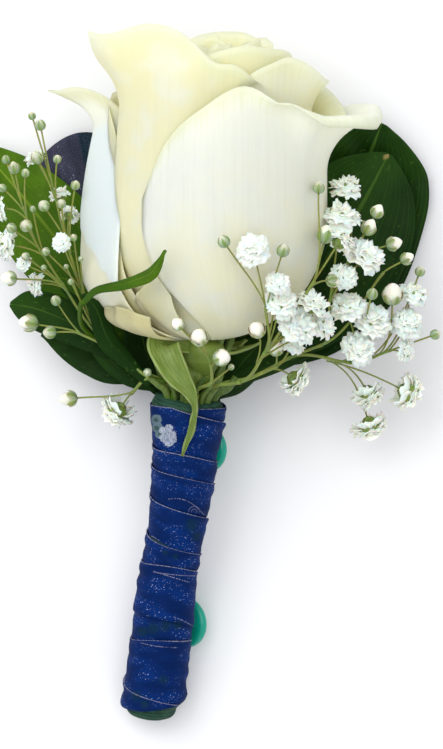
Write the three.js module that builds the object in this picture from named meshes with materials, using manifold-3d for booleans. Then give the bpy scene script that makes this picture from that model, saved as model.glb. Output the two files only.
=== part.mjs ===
// A white rose boutonniere lying on its back: one bloom with its sepals and stem, five sprays of
// baby's breath, six leaves and a loop of sheer ribbon, bound with floral tape, wound with a navy
// ribbon and carrying two flat-headed pins. Millimetres, +Z up, +Y from the cut end to the bloom.

import * as THREE from "three";
import { mergeVertices } from "three/addons/utils/BufferGeometryUtils.js";
import Module from "manifold-3d";

const wasm = await Module();
wasm.setup();

// Driving dimensions. All places are measured from the neck, where the stems meet the tape.
const BLOOM_BASE = new THREE.Vector3(2.6, 12.6, 22.8);
const BLOOM_TILT = THREE.MathUtils.degToRad(10);
const PETAL_THICKNESS = 0.7;
const LEAF_THICKNESS = 0.7;
const CLEARANCE = 0.3;
const NECK = new THREE.Vector3(-0.4, -0.4, 20.6);
const CUT_END = new THREE.Vector3(-7.4, -60.3, 4.85);
const TAPE_RIM = 2.8;
const TAPE_ROUND = 1.7;
const WRAP_WALL = 0.6;
const WRAP_LENGTH = 59.6;
const WRAP_SIDES = 16;
const ROSE_STEM_RADIUS = 1.9;
const ROSE_STEM_DEPTH = 46;
const ROOT_RING = 4.35;
const ROOT_RADIUS = 0.6;
const ROOT_SIDES = 5;
const ROOT_DEPTH = 3.4;
const ROOT_LIP = 0.4;
const ROOT_RISE = 2;
const TIP_STEM_RADIUS = 0.4;
const TIP_SPACING = 0.8;
const FORK_THINNING = 0.06;
const PIN_HEAD_RADIUS = 5;
const PIN_HEAD_THICKNESS = 2;
const PIN_SHANK_RADIUS = 0.4;
const PIN_SHANK_LENGTH = 5.2;
const PIN_SIDES = 16;
const HANDLE_SWAY = 0.7;
const HANDLE_SWAY_LENGTH = 34;
const TABLE_SPAN = 300;
const TABLE_DEPTH = 20;
const TINY = 0.12;

// Frames: the handle runs from the neck down to the cut end, and the bloom up from its base.
const down = CUT_END.clone().sub(NECK);
const HANDLE_LENGTH = down.length();
down.normalize();
const handleRight = new THREE.Vector3(0, 0, 1).cross(down).normalize();
const handleFront = new THREE.Vector3().crossVectors(down, handleRight);
const bloomUp = new THREE.Vector3(0.01, Math.cos(BLOOM_TILT), Math.sin(BLOOM_TILT)).normalize();
const bloomRight = new THREE.Vector3(1, 0, 0).addScaledVector(bloomUp, -bloomUp.x).normalize();
const bloomFront = new THREE.Vector3().crossVectors(bloomRight, bloomUp);

const radians = THREE.MathUtils.degToRad;
const clamp01 = (x) => Math.min(1, Math.max(0, x));
const smooth = (x) => clamp01(x) ** 2 * (3 - 2 * clamp01(x));
const mix = (a, b, x) => a + (b - a) * x;
const place = (xyz) => new THREE.Vector3(...xyz);

// A value that goes smoothly through a list spread evenly from u = -1 to u = 1.
function across(values, u) {
  const spot = ((u + 1) / 2) * (values.length - 1);
  const k = Math.min(Math.floor(spot), values.length - 2);
  return mix(values[k], values[k + 1], smooth(spot - k));
}

// A point of the handle's frame: distance down from the neck, radius, and angle from the right
// side towards the viewer. The handle sways a little to the right under the neck.
function onHandle(distance, radius, angle) {
  const sway = HANDLE_SWAY * Math.sin(Math.PI * clamp01(distance / HANDLE_SWAY_LENGTH));
  return NECK.clone()
    .addScaledVector(down, distance)
    .addScaledVector(handleRight, sway + radius * Math.cos(angle))
    .addScaledVector(handleFront, radius * Math.sin(angle));
}

// A point of the bloom's frame, in the same way.
function onBloom(height, radius, angle, shift = [0, 0]) {
  return BLOOM_BASE.clone()
    .addScaledVector(bloomUp, height)
    .addScaledVector(bloomRight, shift[0] + radius * Math.cos(angle))
    .addScaledVector(bloomFront, shift[1] + radius * Math.sin(angle));
}

// The solid inside a closed geometry. Triangles that close up when points merge are dropped.
function solidIn(geometry) {
  const merged = mergeVertices(geometry, 1e-4);
  const index = merged.index.array;
  const kept = [];
  for (let i = 0; i < index.length; i += 3) {
    const [a, b, c] = index.slice(i, i + 3);
    if (a !== b && b !== c && c !== a) kept.push(a, b, c);
  }
  return new wasm.Manifold(
    new wasm.Mesh({
      numProp: 3,
      vertProperties: merged.attributes.position.array,
      triVerts: new Uint32Array(kept),
    }),
  );
}

// A solid from points and the corner numbers of its triangles.
function solidOf(points, corners) {
  const geometry = new THREE.BufferGeometry();
  const flat = points.flatMap((p) => p.toArray());
  geometry.setAttribute("position", new THREE.Float32BufferAttribute(flat, 3));
  geometry.setIndex(corners);
  return solidIn(geometry);
}

// The solid between two end points and the rings that lie between them.
function stack(start, rings, end) {
  const sides = rings[0].length;
  const points = [...rings.flat(), start, end];
  const first = points.length - 2;
  const last = points.length - 1;
  const corners = [];
  for (let i = 0; i < sides; i++) {
    const next = (i + 1) % sides;
    corners.push(first, next, i);
    for (let j = 0; j < rings.length - 1; j++) {
      const low = j * sides;
      const high = low + sides;
      corners.push(low + i, low + next, high + next, low + i, high + next, high + i);
    }
    const top = (rings.length - 1) * sides;
    corners.push(last, top + i, top + next);
  }
  return solidOf(points, corners);
}

// A round bar along a curve, with a radius that may change along it.
function bar(curve, radius, sides, steps) {
  const frames = curve.computeFrenetFrames(steps, false);
  const rings = [];
  for (let j = 0; j <= steps; j++) {
    const centre = curve.getPointAt(j / steps);
    const size = radius(j / steps);
    rings.push(
      Array.from({ length: sides }, (_, i) => {
        const angle = (2 * Math.PI * i) / sides;
        return centre
          .clone()
          .addScaledVector(frames.normals[j], size * Math.cos(angle))
          .addScaledVector(frames.binormals[j], size * Math.sin(angle));
      }),
    );
  }
  return stack(curve.getPointAt(0), rings, curve.getPointAt(1));
}

// A thin solid either side of a grid of points, split into triangles alike on both faces.
function blade(grid, thickness) {
  const rows = grid.length;
  const columns = grid[0].length;
  const front = [];
  const back = [];
  for (let j = 0; j < rows; j++) {
    for (let i = 0; i < columns; i++) {
      const wide = grid[j][Math.min(i + 1, columns - 1)].clone().sub(grid[j][Math.max(i - 1, 0)]);
      const long = grid[Math.min(j + 1, rows - 1)][i].clone().sub(grid[Math.max(j - 1, 0)][i]);
      const normal = wide.cross(long).normalize();
      front.push(grid[j][i].clone().addScaledVector(normal, thickness / 2));
      back.push(grid[j][i].clone().addScaledVector(normal, -thickness / 2));
    }
  }
  const at = (j, i) => j * columns + i;
  const behind = rows * columns;
  const corners = [];
  for (let j = 0; j < rows - 1; j++) {
    for (let i = 0; i < columns - 1; i++) {
      const quad = [at(j, i), at(j, i + 1), at(j + 1, i + 1), at(j + 1, i)];
      for (const [a, b, c] of [[0, 1, 2], [0, 2, 3]]) {
        corners.push(quad[a], quad[b], quad[c]);
        corners.push(behind + quad[a], behind + quad[c], behind + quad[b]);
      }
    }
  }
  const rim = [];
  for (let i = 0; i < columns - 1; i++) rim.push(at(0, i));
  for (let j = 0; j < rows - 1; j++) rim.push(at(j, columns - 1));
  for (let i = columns - 1; i > 0; i--) rim.push(at(rows - 1, i));
  for (let j = rows - 1; j > 0; j--) rim.push(at(j, 0));
  rim.forEach((p, k) => {
    const q = rim[(k + 1) % rim.length];
    corners.push(p, behind + p, behind + q, p, behind + q, q);
  });
  return solidOf([...front, ...back], corners);
}

// Several solids fused, as the one outer body: sealed hollows are filled and loose scraps dropped.
function fuse(solids) {
  return largest(wasm.Manifold.union(solids).simplify(TINY));
}

function largest(solid) {
  return solid.decompose().sort((a, b) => b.volume() - a.volume())[0];
}

// The bloom's petals. Angles are degrees from the right side towards the viewer; u runs from the
// petal's left edge, -1, to its right, 1, and each list gives a value at -1, 0 and 1. "reach" is the
// height of the rim as a share of the petal, "from" where it starts to bend outwards, "bend" how
// fast (radians per petal length), "most" how far, "lip" the last roll of the rim, "press" an offset
// in or out, "round" how much the left and right corners are rounded off.
const PETALS = [
  {
    name: "front right", foot: 0.1, wideBy: 0.52,
    at: 52, half: 78, radius: 21.2, height: 52, taper: 0.05,
    reach: [0.95, 0.95, 0.95, 0.95, 0.94, 0.92, 0.985, 0.99, 0.96],
    from: [0.9, 0.9, 0.9, 0.88, 0.86, 0.68, 0.63, 0.63, 0.66],
    bend: [0, 0, 0, 0, 3, 3.2, 5, 5, 4], most: [0, 0, 0, 0, 0.4, 0.7, 1.25, 1.25, 1.0],
    lip: [0, 0, 0, 0, 1.6, 2.4, 2.9, 2.9, 2.6],
    press: [-2.8, -1.4, 0, 0.3, 0.4, 0.6, 1.6, 1.8, 1.6], shift: [0, 0], round: [0.39, 0.02], fine: [8, 6],
  },
  {
    name: "left", swell: 0.27, at: 185, half: 48, radius: 22.6, height: 47, taper: 0.03,
    reach: [0.92, 0.985, 0.95], from: [0.82, 0.81, 0.86], bend: [3, 7, 3], most: [0.5, 1.15, 0.4],
    lip: [0, 0.3, 0], press: [-0.5, 0.4, -1.2], shift: [0, 0], round: [0.12, 0.1], fine: [4, 6],
  },
  {
    name: "back left", at: 248, half: 56, radius: 20.8, height: 47, taper: 0.05,
    reach: [0.92, 1.02, 0.95], from: [0.85, 0.8, 0.85], bend: [1, 3, 1], most: [1, 1, 1],
    lip: [0, 0.4, 0], press: [-1.6, 0, 0.6], shift: [0, 0], round: [0.22, 0.22], fine: [5, 6],
  },
  {
    name: "back right", at: 318, half: 58, radius: 20.8, height: 47, taper: 0.05,
    reach: [1.0, 1.02, 0.96], from: [0.82, 0.82, 0.85], bend: [4, 3.5, 3], most: [0.9, 1, 1],
    lip: [0, 0.6, 0.6], press: [0.5, 0, -1.8], shift: [0, 0], round: [0.2, 0.2], fine: [5, 6],
  },
  {
    name: "tall front left", at: 118, half: 78, radius: 16.4, height: 62, taper: 0.02,
    reach: [0.94, 0.985, 0.993, 0.893, 0.83], from: [0.74, 0.74, 0.86, 0.9, 0.93],
    bend: [6.5, 5, 2, 1, 0], most: [0.75, 0.6, 0.2, 0.1, 0], lip: [-0.8, -0.2, 0.2, 0.3, 0.3],
    press: [0.3, 0.15, 0, -0.8, -1.6], shift: [0.6, 1.6], round: [0.03, 0.03], fine: [8, 6],
  },
  {
    name: "left inner", at: 205, half: 56, radius: 18.6, height: 45, taper: 0.05,
    reach: [0.95, 1.0, 0.98], from: [0.9, 0.9, 0.9], bend: [0, 1.5, 1], most: [1, 1, 1],
    lip: [0, 0, 0], press: [-0.6, 0, 0.4], shift: [0, 0], round: [0.2, 0.2], fine: [4, 4],
  },
  {
    name: "right inner", at: 10, half: 66, radius: 17.8, height: 53, taper: 0.05,
    reach: [1.05, 1.05, 0.955, 0.93, 0.88], from: [0.9, 0.85, 0.8, 0.8, 0.85],
    bend: [0, 1, 4, 4, 2], most: [0.3, 0.4, 0.8, 0.8, 0.6], lip: [0, 0.1, 0.3, 0.3, 0.2],
    press: [-1.4, -0.6, 0, 0.2, 0.4], shift: [0.6, 0], round: [0.12, 0.2], fine: [4, 6],
  },
  {
    name: "back inner", at: 290, half: 62, radius: 17.4, height: 53, taper: 0.08,
    reach: [0.95, 1.0, 0.93], from: [0.9, 0.86, 0.9], bend: [0, 2, 0], most: [1, 1, 1],
    lip: [0, 0, 0], press: [0.4, 0, -1], shift: [0, 0], round: [0.2, 0.2], fine: [4, 4],
  },
  {
    name: "third right", at: 42, half: 78, radius: 14.8, height: 57, taper: 0.04,
    reach: [1.0, 1.01, 1.0, 0.96, 0.9], from: [0.88, 0.88, 0.88, 0.86, 0.84],
    bend: [0, 0.5, 1, 1.5, 2], most: [1, 1, 1, 1, 1], lip: [0, 0, 0, 0.2, 0.3],
    press: [-1.2, -0.6, 0, 0.3, 0.6], shift: [0.8, 0.4], round: [0.1, 0.16], fine: [4, 4],
  },
  {
    name: "third left", at: 165, half: 76, radius: 12.6, height: 57.5, taper: 0.1,
    reach: [0.95, 1.0, 1.0], from: [0.9, 0.9, 0.9], bend: [0, 1, 0], most: [1, 1, 1],
    lip: [0, 0, 0], press: [-0.8, 0, 0.4], shift: [0, 0.2], round: [0.16, 0.1], fine: [4, 4],
  },
  {
    name: "third back", at: 285, half: 78, radius: 13, height: 57, taper: 0.1,
    reach: [0.95, 1.0, 0.96], from: [0.9, 0.9, 0.9], bend: [0, 1.4, 0], most: [1, 1, 1],
    lip: [0, 0, 0], press: [0.6, 0, -0.6], shift: [0.5, 0], round: [0.16, 0.16], fine: [4, 4],
  },
  {
    name: "heart right", at: 20, half: 100, radius: 9.2, height: 57, taper: 0.12,
    reach: [0.97, 1.0, 0.95], from: [0.9, 0.9, 0.9], bend: [0, 1.5, 0], most: [1, 1, 1],
    lip: [0, 0, 0], press: [-0.9, 0, 0.9], shift: [1.4, 0.6], round: [0.12, 0.12], fine: [4, 4],
  },
  {
    name: "heart left", at: 150, half: 96, radius: 7.4, height: 57.5, taper: 0.12,
    reach: [0.97, 1.0, 0.97], from: [0.9, 0.9, 0.9], bend: [0, 1, 0], most: [1, 1, 1],
    lip: [0, 0, 0], press: [-0.8, 0, 0.8], shift: [1, 0.8], round: [0.12, 0.12], fine: [4, 4],
  },
  {
    name: "heart back", at: 270, half: 96, radius: 6.0, height: 56.5, taper: 0.12,
    reach: [0.97, 1.0, 0.97], from: [0.9, 0.9, 0.9], bend: [0, 1, 0], most: [1, 1, 1],
    lip: [0, 0, 0], press: [-0.7, 0, 0.7], shift: [1, 0.4], round: [0.12, 0.12], fine: [4, 4],
  },
  {
    name: "small guard", at: 160, half: 34, radius: 17.5, height: 22, taper: 0,
    reach: [0.5, 0.58, 0.54], from: [0.22, 0.2, 0.2], bend: [6, 6.5, 7], most: [1.9, 2.3, 2.4],
    lip: [0, 0, 0], press: [1.0, 1.4, 1.0], shift: [0, 0], round: [0.16, 0.16], fine: [4, 6],
  },
  {
    name: "guard flap", at: 124, half: 26, radius: 17.2, height: 24, taper: 0,
    reach: [0.6, 0.6, 0.5], from: [0.25, 0.25, 0.25], bend: [5, 6, 6], most: [1.7, 1.9, 1.9],
    lip: [0, 0, 0], press: [1.0, 1.4, 1.0], shift: [0, 0], round: [0.1, 0.3], fine: [3, 5],
  },
];
const PETAL_SUBSTEPS = 40;
const PETAL_ROUNDING = 2.5;
const PETAL_ROOT_RADIUS = 2.6;
const CUP_SHARE = 0.43;
const OPEN_BY = 0.5;
const WIDE_BY = 0.45;
const ROOT_WIDTH = 0.78;
const LIP_SHARE = 0.07;

// The petal's cup before its rim bends: radius and height at a share t of the petal.
function cup(petal, t) {
  const swell = petal.height * (petal.swell ?? CUP_SHARE);
  if (t <= OPEN_BY) {
    const turn = (Math.PI / 2) * (t / OPEN_BY);
    return [
      PETAL_ROOT_RADIUS + (petal.radius - PETAL_ROOT_RADIUS) * Math.sin(turn),
      swell * (1 - Math.cos(turn)),
    ];
  }
  const x = (t - OPEN_BY) / (1 - OPEN_BY);
  return [petal.radius * (1 - petal.taper * x * x), mix(swell, petal.height, x)];
}

// A petal's grid of points: each column climbs the cup and turns outwards where the rim bends.
function petalGrid(petal) {
  const [columns, rows] = petal.fine;
  const grid = Array.from({ length: rows + 1 }, () => []);
  for (let i = 0; i <= columns; i++) {
    const u = -1 + (2 * i) / columns;
    const corner = petal.round[u < 0 ? 0 : 1] * Math.abs(u) ** PETAL_ROUNDING;
    const reach = across(petal.reach, u) * (1 - corner);
    const from = across(petal.from, u);
    const lipFrom = reach - LIP_SHARE;
    let [radius, height] = cup(petal, 0);
    let [lastRadius, lastHeight] = [radius, height];
    for (let k = 0; k <= rows * PETAL_SUBSTEPS; k++) {
      const t = (reach * k) / (rows * PETAL_SUBSTEPS);
      const [r, h] = cup(petal, t);
      const turn =
        Math.min(across(petal.most, u), across(petal.bend, u) * Math.max(0, t - from)) +
        across(petal.lip, u) * clamp01((t - lipFrom) / LIP_SHARE);
      radius += (r - lastRadius) * Math.cos(turn) + (h - lastHeight) * Math.sin(turn);
      height += (h - lastHeight) * Math.cos(turn) - (r - lastRadius) * Math.sin(turn);
      [lastRadius, lastHeight] = [r, h];
      if (k % PETAL_SUBSTEPS === 0) {
        const open = smooth(t / OPEN_BY);
        const opening = smooth(t / (petal.wideBy ?? WIDE_BY));
        const wide = petal.half * mix(petal.foot ?? ROOT_WIDTH, 1, opening);
        const angle = radians(petal.at - u * wide);
        const shift = petal.shift.map((s) => s * open);
        const out = radius + across(petal.press, u) * open;
        grid[k / PETAL_SUBSTEPS].push(onBloom(height, out, angle, shift));
      }
    }
  }
  return grid;
}

// The petals on their small core, which is a bud of its own in the middle.
const CORE_PROFILE = [[-0.2, 4.2], [2.6, 8.2], [12, 10.4], [36, 9.2], [48, 4.2]];
const CORE_FOOT = -0.4;
const CORE_TOP = 56;
const CORE_SIDES = 8;

// A ring round the bloom's axis.
function bloomRing(height, radius, sides) {
  return Array.from({ length: sides }, (_, i) => onBloom(height, radius, (-2 * Math.PI * i) / sides));
}

function bloom(grow) {
  const rings = CORE_PROFILE.map(([height, radius]) => bloomRing(height, radius + grow, CORE_SIDES));
  const bud = stack(onBloom(CORE_FOOT - grow, 0, 0), rings, onBloom(CORE_TOP, 0, 0));
  const petals = PETALS.map((petal) => blade(petalGrid(petal), PETAL_THICKNESS + 2 * grow));
  return fuse([bud, ...petals]);
}

// The hip under the bloom, its five sepals and the stem that runs down inside the tape.
const HIP_PROFILE = [[-6.2, 2.6], [-4.4, 3.8], [-2.2, 3.9], [-0.9, 3.3]];
const HIP_FOOT = -7.4;
const HIP_TOP = -0.7;
const HIP_SIDES = 12;
const STEM_SIDES = 8;
const FRONT_SEPAL = {
  line: [
    [1.4, 10.6, 24.2], [-3.2, 12.0, 28.4], [-5.0, 11.2, 30.4], [-4.2, 8.6, 31.2], [-2.4, 5.2, 31.0],
    [0.0, 1.8, 30.3], [0.9, -1.2, 29.4], [0.3, -5.0, 28.3], [-1.5, -10.2, 26.2],
  ],
  widths: [3, 5.2, 5.4, 5.0, 4.4, 2.6, 1.6, 1.7, 0.7],
};
const SIDE_SEPALS = [
  { at: -28, length: 12 },
  { at: 212, length: 12 },
  { at: 262, length: 11 },
  { at: 312, length: 12 },
];

// A leaf-like blade along a line of points: "widths" go with the points, "arch" is how far the
// middle stands over the edges, and "lean" turns the blade about its line.
function ribbonGrid(line, widths, { rows, columns, arch = 0, lean = 0, facing = [0, 0, 1] }) {
  const curve = new THREE.CatmullRomCurve3(line.map(place));
  const face = place(facing).normalize();
  const grid = [];
  for (let j = 0; j <= rows; j++) {
    const t = j / rows;
    const centre = curve.getPoint(t);
    const along = curve.getTangent(t);
    const side = along.clone().cross(face).normalize().applyAxisAngle(along, lean);
    const normal = side.clone().cross(along).normalize();
    const half = across(widths, 2 * t - 1) / 2;
    grid.push(
      Array.from({ length: columns + 1 }, (_, i) => {
        const u = -1 + (2 * i) / columns;
        return centre
          .clone()
          .addScaledVector(side, u * half)
          .addScaledVector(normal, arch * half * (1 - u * u));
      }),
    );
  }
  return grid;
}

function hipAndStem(grow) {
  const rings = HIP_PROFILE.map(([height, radius]) => bloomRing(height, radius + grow, HIP_SIDES));
  const hip = stack(onBloom(HIP_FOOT, 0, 0), rings, onBloom(HIP_TOP + grow, 0, 0));
  const mouth = onHandle(-TAPE_RIM - CLEARANCE, 0, 0);
  const above = onHandle(-TAPE_RIM - 3, 0, 0);
  const bend = new THREE.CatmullRomCurve3([onBloom(-4, 0, 0), onBloom(-8, 0, 0), above, mouth]);
  const straight = new THREE.LineCurve3(mouth, onHandle(ROSE_STEM_DEPTH, 0, 0));
  const stem = [
    bar(bend, () => ROSE_STEM_RADIUS + grow, STEM_SIDES, 4),
    bar(straight, () => ROSE_STEM_RADIUS + grow, STEM_SIDES, 1),
  ];
  const front = blade(
    ribbonGrid(FRONT_SEPAL.line, FRONT_SEPAL.widths, { rows: 13, columns: 2, arch: -0.35 }),
    LEAF_THICKNESS + 2 * grow,
  );
  const sides = SIDE_SEPALS.map(({ at, length }) => {
    const line = [0.15, 0.45, 0.75, 1].map((t) =>
      onBloom(-2.2 - 1.1 * Math.sin(Math.PI * t), length * t, radians(at)).toArray(),
    );
    const facing = bloomUp.toArray();
    const grid = ribbonGrid(line, [3, 3.8, 2.6, 0.6], { rows: 4, columns: 2, arch: -0.3, facing });
    return blade(grid, LEAF_THICKNESS + 2 * grow);
  });
  return fuse([hip, ...stem, front, ...sides]);
}

// Where a stem stands in the tape, by its angle round the rose stem: its foot and the tape's top.
const atRoot = (distance, angle) => onHandle(distance, ROOT_RING, radians(angle));

// The two points through which a stalk leaves the tape, straight up.
const outOfTape = (angle) => [ROOT_LIP, ROOT_RISE].map((rise) => atRoot(-TAPE_RIM - rise, angle));

function rootBar(angle, radius) {
  const line = new THREE.LineCurve3(atRoot(ROOT_DEPTH, angle), atRoot(-TAPE_RIM - 0.6, angle));
  return bar(line, () => radius, ROOT_SIDES, 1);
}

// The leaves. "root" is the stalk's place in the tape, "stalk" its way to the blade, "line" and
// "widths" the blade from its base to its tip.
const LEAVES = {
  leaf_right_back: {
    root: 292, stalk: [[3, 5, 12.5]],
    line: [[5.5, 9, 7.5], [13, 17, 3.0], [23, 29, 1.2], [32, 42, 2.8], [36.8, 53.4, 5.8]],
    widths: [3, 29, 40, 31, 5], columns: 4, arch: -0.05, lean: 0.0,
  },
  leaf_right_front: {
    root: 322, stalk: [[5.5, 5, 14]],
    line: [[9.5, 9, 11.4], [17, 16, 8.6], [25.5, 26, 7.2], [32.5, 37, 7.4], [38, 47.4, 8.6]],
    widths: [3, 19, 26, 22, 3], columns: 4, arch: 0.1, lean: 0.0,
  },
  leaf_left_upper: {
    root: 240, stalk: [[-3.8, 5.4, 12.6]],
    line: [[-8, 10, 9.6], [-17, 20, 6.4], [-26, 31.5, 5.4], [-34, 41.5, 5.2], [-41, 49.5, 6]],
    widths: [3, 13, 18, 13, 2], columns: 4, arch: 0.08, lean: 0.0,
  },
  leaf_left_middle: {
    root: 196, stalk: [[-7.6, 4.6, 19.4]],
    line: [[-13, 8, 18.2], [-18, 12, 17.4], [-24, 15.4, 16.4], [-29.5, 17.6, 16], [-34.2, 18.6, 16.4]],
    widths: [1.6, 6, 8, 7.6, 3], columns: 2, arch: 0.12, lean: 0.25,
  },
  leaf_left_lower: {
    root: 219, stalk: [[-6.2, 4.4, 15.4]],
    line: [[-9.6, 4.4, 14.2], [-14, 6.6, 12.8], [-19, 9.4, 11.6], [-24, 11.8, 11], [-28.4, 13.2, 11]],
    widths: [2, 7.4, 8.6, 6.4, 1.2], columns: 2, arch: 0.12, lean: 0.15,
  },
  leaf_narrow_curling: {
    root: 132, stalk: [[-7.2, 5.2, 26.6], [-13.4, 9.8, 28], [-18.6, 14.6, 29.6]],
    line: [[-20.6, 18.2, 31], [-17.4, 21, 36], [-12.4, 22.4, 40.6], [-7.8, 24.6, 45.6], [-4.4, 28.2, 49.2]],
    widths: [1.2, 2.2, 3.2, 3.0, 0.6], columns: 2, arch: 0.1, lean: -0.5,
  },
};

function leaf(spec, grow) {
  const grid = ribbonGrid(spec.line, spec.widths, {
    rows: 9, columns: spec.columns, arch: spec.arch, lean: spec.lean,
  });
  const [base, next] = spec.line.map(place);
  const into = base.clone().lerp(next, 0.3);
  const way = [...outOfTape(spec.root), ...spec.stalk.map(place), base, into];
  const curve = new THREE.CatmullRomCurve3(way);
  const stalk = bar(curve, (t) => mix(ROOT_RADIUS, 0.5, t) + grow, 4, 5);
  return fuse([rootBar(spec.root, ROOT_RADIUS + grow), stalk, blade(grid, LEAF_THICKNESS + 2 * grow)]);
}

// Baby's breath. Each spray has joints, where stems fork, and tips. A joint or a tip names the
// joint that it grows from; "o" tips are open florets and "b" tips are buds, with their radius.
const SPRAYS = {
  babys_breath_left: {
    root: 172,
    joints: {
      a: { from: "root", at: [-8.8, 5.6, 20.6] },
      b: { from: "a", at: [-17.2, 12.6, 21] },
      c: { from: "b", at: [-20.6, 21.4, 23] },
      d: { from: "c", at: [-23.5, 30.8, 26] },
      e: { from: "d", at: [-25.8, 40.2, 28] },
      f: { from: "b", at: [-24.4, 22.6, 24] },
      g: { from: "f", at: [-28.4, 28.8, 27] },
      h: { from: "g", at: [-31.6, 37.0, 28] },
    },
    tips: [
      ["e", "b", [-29.8, 54.0, 29], 0.75], ["e", "b", [-28.2, 52.2, 30.6], 1.05],
      ["e", "o", [-29.4, 46.4, 27], 1.7], ["e", "b", [-25.0, 45.8, 31], 0.8],
      ["d", "b", [-24.2, 37.4, 32], 0.9], ["d", "b", [-27.5, 37.0, 31.6], 1.1],
      ["d", "o", [-24.8, 39.6, 23], 1.7], ["d", "o", [-22.9, 35.8, 21.4], 1.6],
      ["c", "o", [-24.2, 30.2, 33.4], 1.5], ["c", "b", [-27.1, 28.4, 32], 0.8],
      ["c", "b", [-21.9, 31.0, 32], 0.7],
      ["h", "b", [-33.2, 44.2, 28.6], 1.15], ["h", "b", [-34.8, 45.8, 27], 0.8],
      ["h", "b", [-35.4, 40.4, 29], 0.8], ["h", "b", [-31.0, 43.2, 30.6], 0.8],
      ["g", "b", [-33.6, 32.8, 31.2], 1.0], ["g", "b", [-30.8, 33.2, 32.8], 1.2],
      ["h", "o", [-36.4, 36.4, 25], 1.9], ["g", "o", [-35.4, 30.0, 26.4], 2.5],
      ["f", "o", [-31.6, 26.2, 28], 1.4], ["f", "b", [-34.2, 23.4, 26.4], 1.5],
      ["f", "o", [-29.6, 22.4, 22], 1.9],
    ],
  },
  babys_breath_left_low: {
    root: 158,
    joints: {
      a: { from: "root", at: [-7.4, 4.4, 23.8] },
      b: { from: "a", at: [-13.6, 9.2, 22.8] },
      c: { from: "b", at: [-21.8, 13.4, 21.8] },
      d: { from: "a", at: [-11.2, 1.6, 20.2] },
    },
    tips: [
      ["c", "b", [-30.6, 15.0, 21.4], 1.8], ["c", "b", [-26.6, 13.2, 23], 1.25],
      ["c", "b", [-25.4, 19.2, 24.4], 1.0],
      ["d", "o", [-14.2, -2.2, 17.6], 2.9], ["d", "b", [-23.2, 0.6, 16.4], 1.7],
      ["a", "b", [-8.0, 5.6, 28.6], 0.8],
    ],
  },
  babys_breath_front: {
    root: 72,
    joints: {
      a: { from: "root", at: [3.8, 3.4, 31] },
      b: { from: "a", at: [4.0, 7.2, 36] },
    },
    tips: [
      ["b", "b", [-2.2, 14.6, 44.4], 1.3], ["b", "b", [1.8, 12.2, 42.2], 1.8],
      ["b", "b", [6.0, 8.4, 38.6], 1.7], ["a", "b", [7.8, 6.6, 33.6], 0.6],
    ],
  },
  babys_breath_right: {
    root: 8,
    joints: {
      a: { from: "root", at: [11.4, 4.6, 22.6] },
      b: { from: "a", at: [18.9, 8.4, 24.4] },
      c: { from: "b", at: [25.0, 10.8, 25.4] },
      d: { from: "c", at: [26.4, 19.4, 29] },
      e: { from: "d", at: [30.4, 27.6, 27] },
      f: { from: "c", at: [36.7, 24.6, 24] },
      g: { from: "b", at: [30.6, 7.4, 22] },
      h: { from: "g", at: [38.2, 9.8, 20] },
    },
    tips: [
      ["d", "o", [28.6, 35.4, 31], 3.2], ["e", "o", [29.4, 40.8, 26], 2.6],
      ["d", "o", [33.2, 27.8, 30], 3.2], ["d", "o", [29.2, 24.0, 32], 2.3],
      ["e", "b", [35.4, 36.0, 27], 1.35], ["e", "b", [33.8, 33.0, 28], 1.6],
      ["e", "b", [38.6, 30.0, 24.6], 1.5], ["f", "b", [41.1, 27.2, 23.4], 1.3],
      ["g", "o", [30.0, 18.4, 28], 2.9], ["g", "o", [34.6, 15.8, 25], 3.1],
      ["g", "b", [34.4, 20.4, 29.4], 1.1], ["g", "o", [32.0, 10.4, 25.4], 2.8],
      ["g", "o", [34.3, 1.0, 15.4], 2.8], ["g", "o", [34.5, -5.1, 12.6], 2.9],
      ["g", "o", [41.9, 1.6, 14.6], 3.0],
      ["h", "o", [41.4, 9.6, 20.6], 1.9], ["h", "o", [41.4, 15.2, 21.6], 2.7],
      ["h", "o", [42.6, 20.8, 20], 2.6], ["h", "b", [38.4, 20.4, 24.4], 2.1],
      ["h", "b", [46.6, 12.8, 20], 1.0], ["h", "b", [43.7, 24.8, 20.6], 1.0],
    ],
  },
  babys_breath_right_front: {
    root: 38,
    joints: {
      a: { from: "root", at: [9.6, 3.8, 28.4] },
      b: { from: "a", at: [14.2, 9.4, 36.6] },
      c: { from: "b", at: [14.2, 17.8, 45.6] },
      d: { from: "b", at: [23.4, 22.8, 39.6] },
      e: { from: "a", at: [16.6, 6.8, 28.6] },
    },
    tips: [
      ["c", "b", [6.4, 29.8, 53.2], 1.2], ["c", "o", [11.8, 28.6, 52.4], 2.7],
      ["c", "b", [17.4, 28.2, 49.2], 1.25],
      ["d", "b", [24.2, 40.2, 38.4], 1.15], ["d", "b", [25.4, 31.4, 37.2], 1.7],
      ["d", "b", [26.8, 22.8, 36.4], 1.3], ["d", "o", [28.4, 30.6, 36.2], 2.4],
      ["b", "o", [17.2, 18.8, 44.6], 2.7], ["b", "o", [16.4, 22.4, 47.8], 1.9],
      ["b", "o", [20.6, 14.6, 39], 3.2], ["b", "o", [23.4, 18.6, 38.2], 2.7],
      ["b", "o", [25.4, 14.6, 33.8], 2.3], ["b", "b", [12.6, 13.6, 41.6], 1.7],
      ["e", "o", [19.6, 11.0, 31.4], 1.8], ["e", "b", [16.2, 10.2, 31.6], 1.6],
      ["e", "o", [20.4, 4.0, 25], 2.7],
    ],
  },
};

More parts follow.
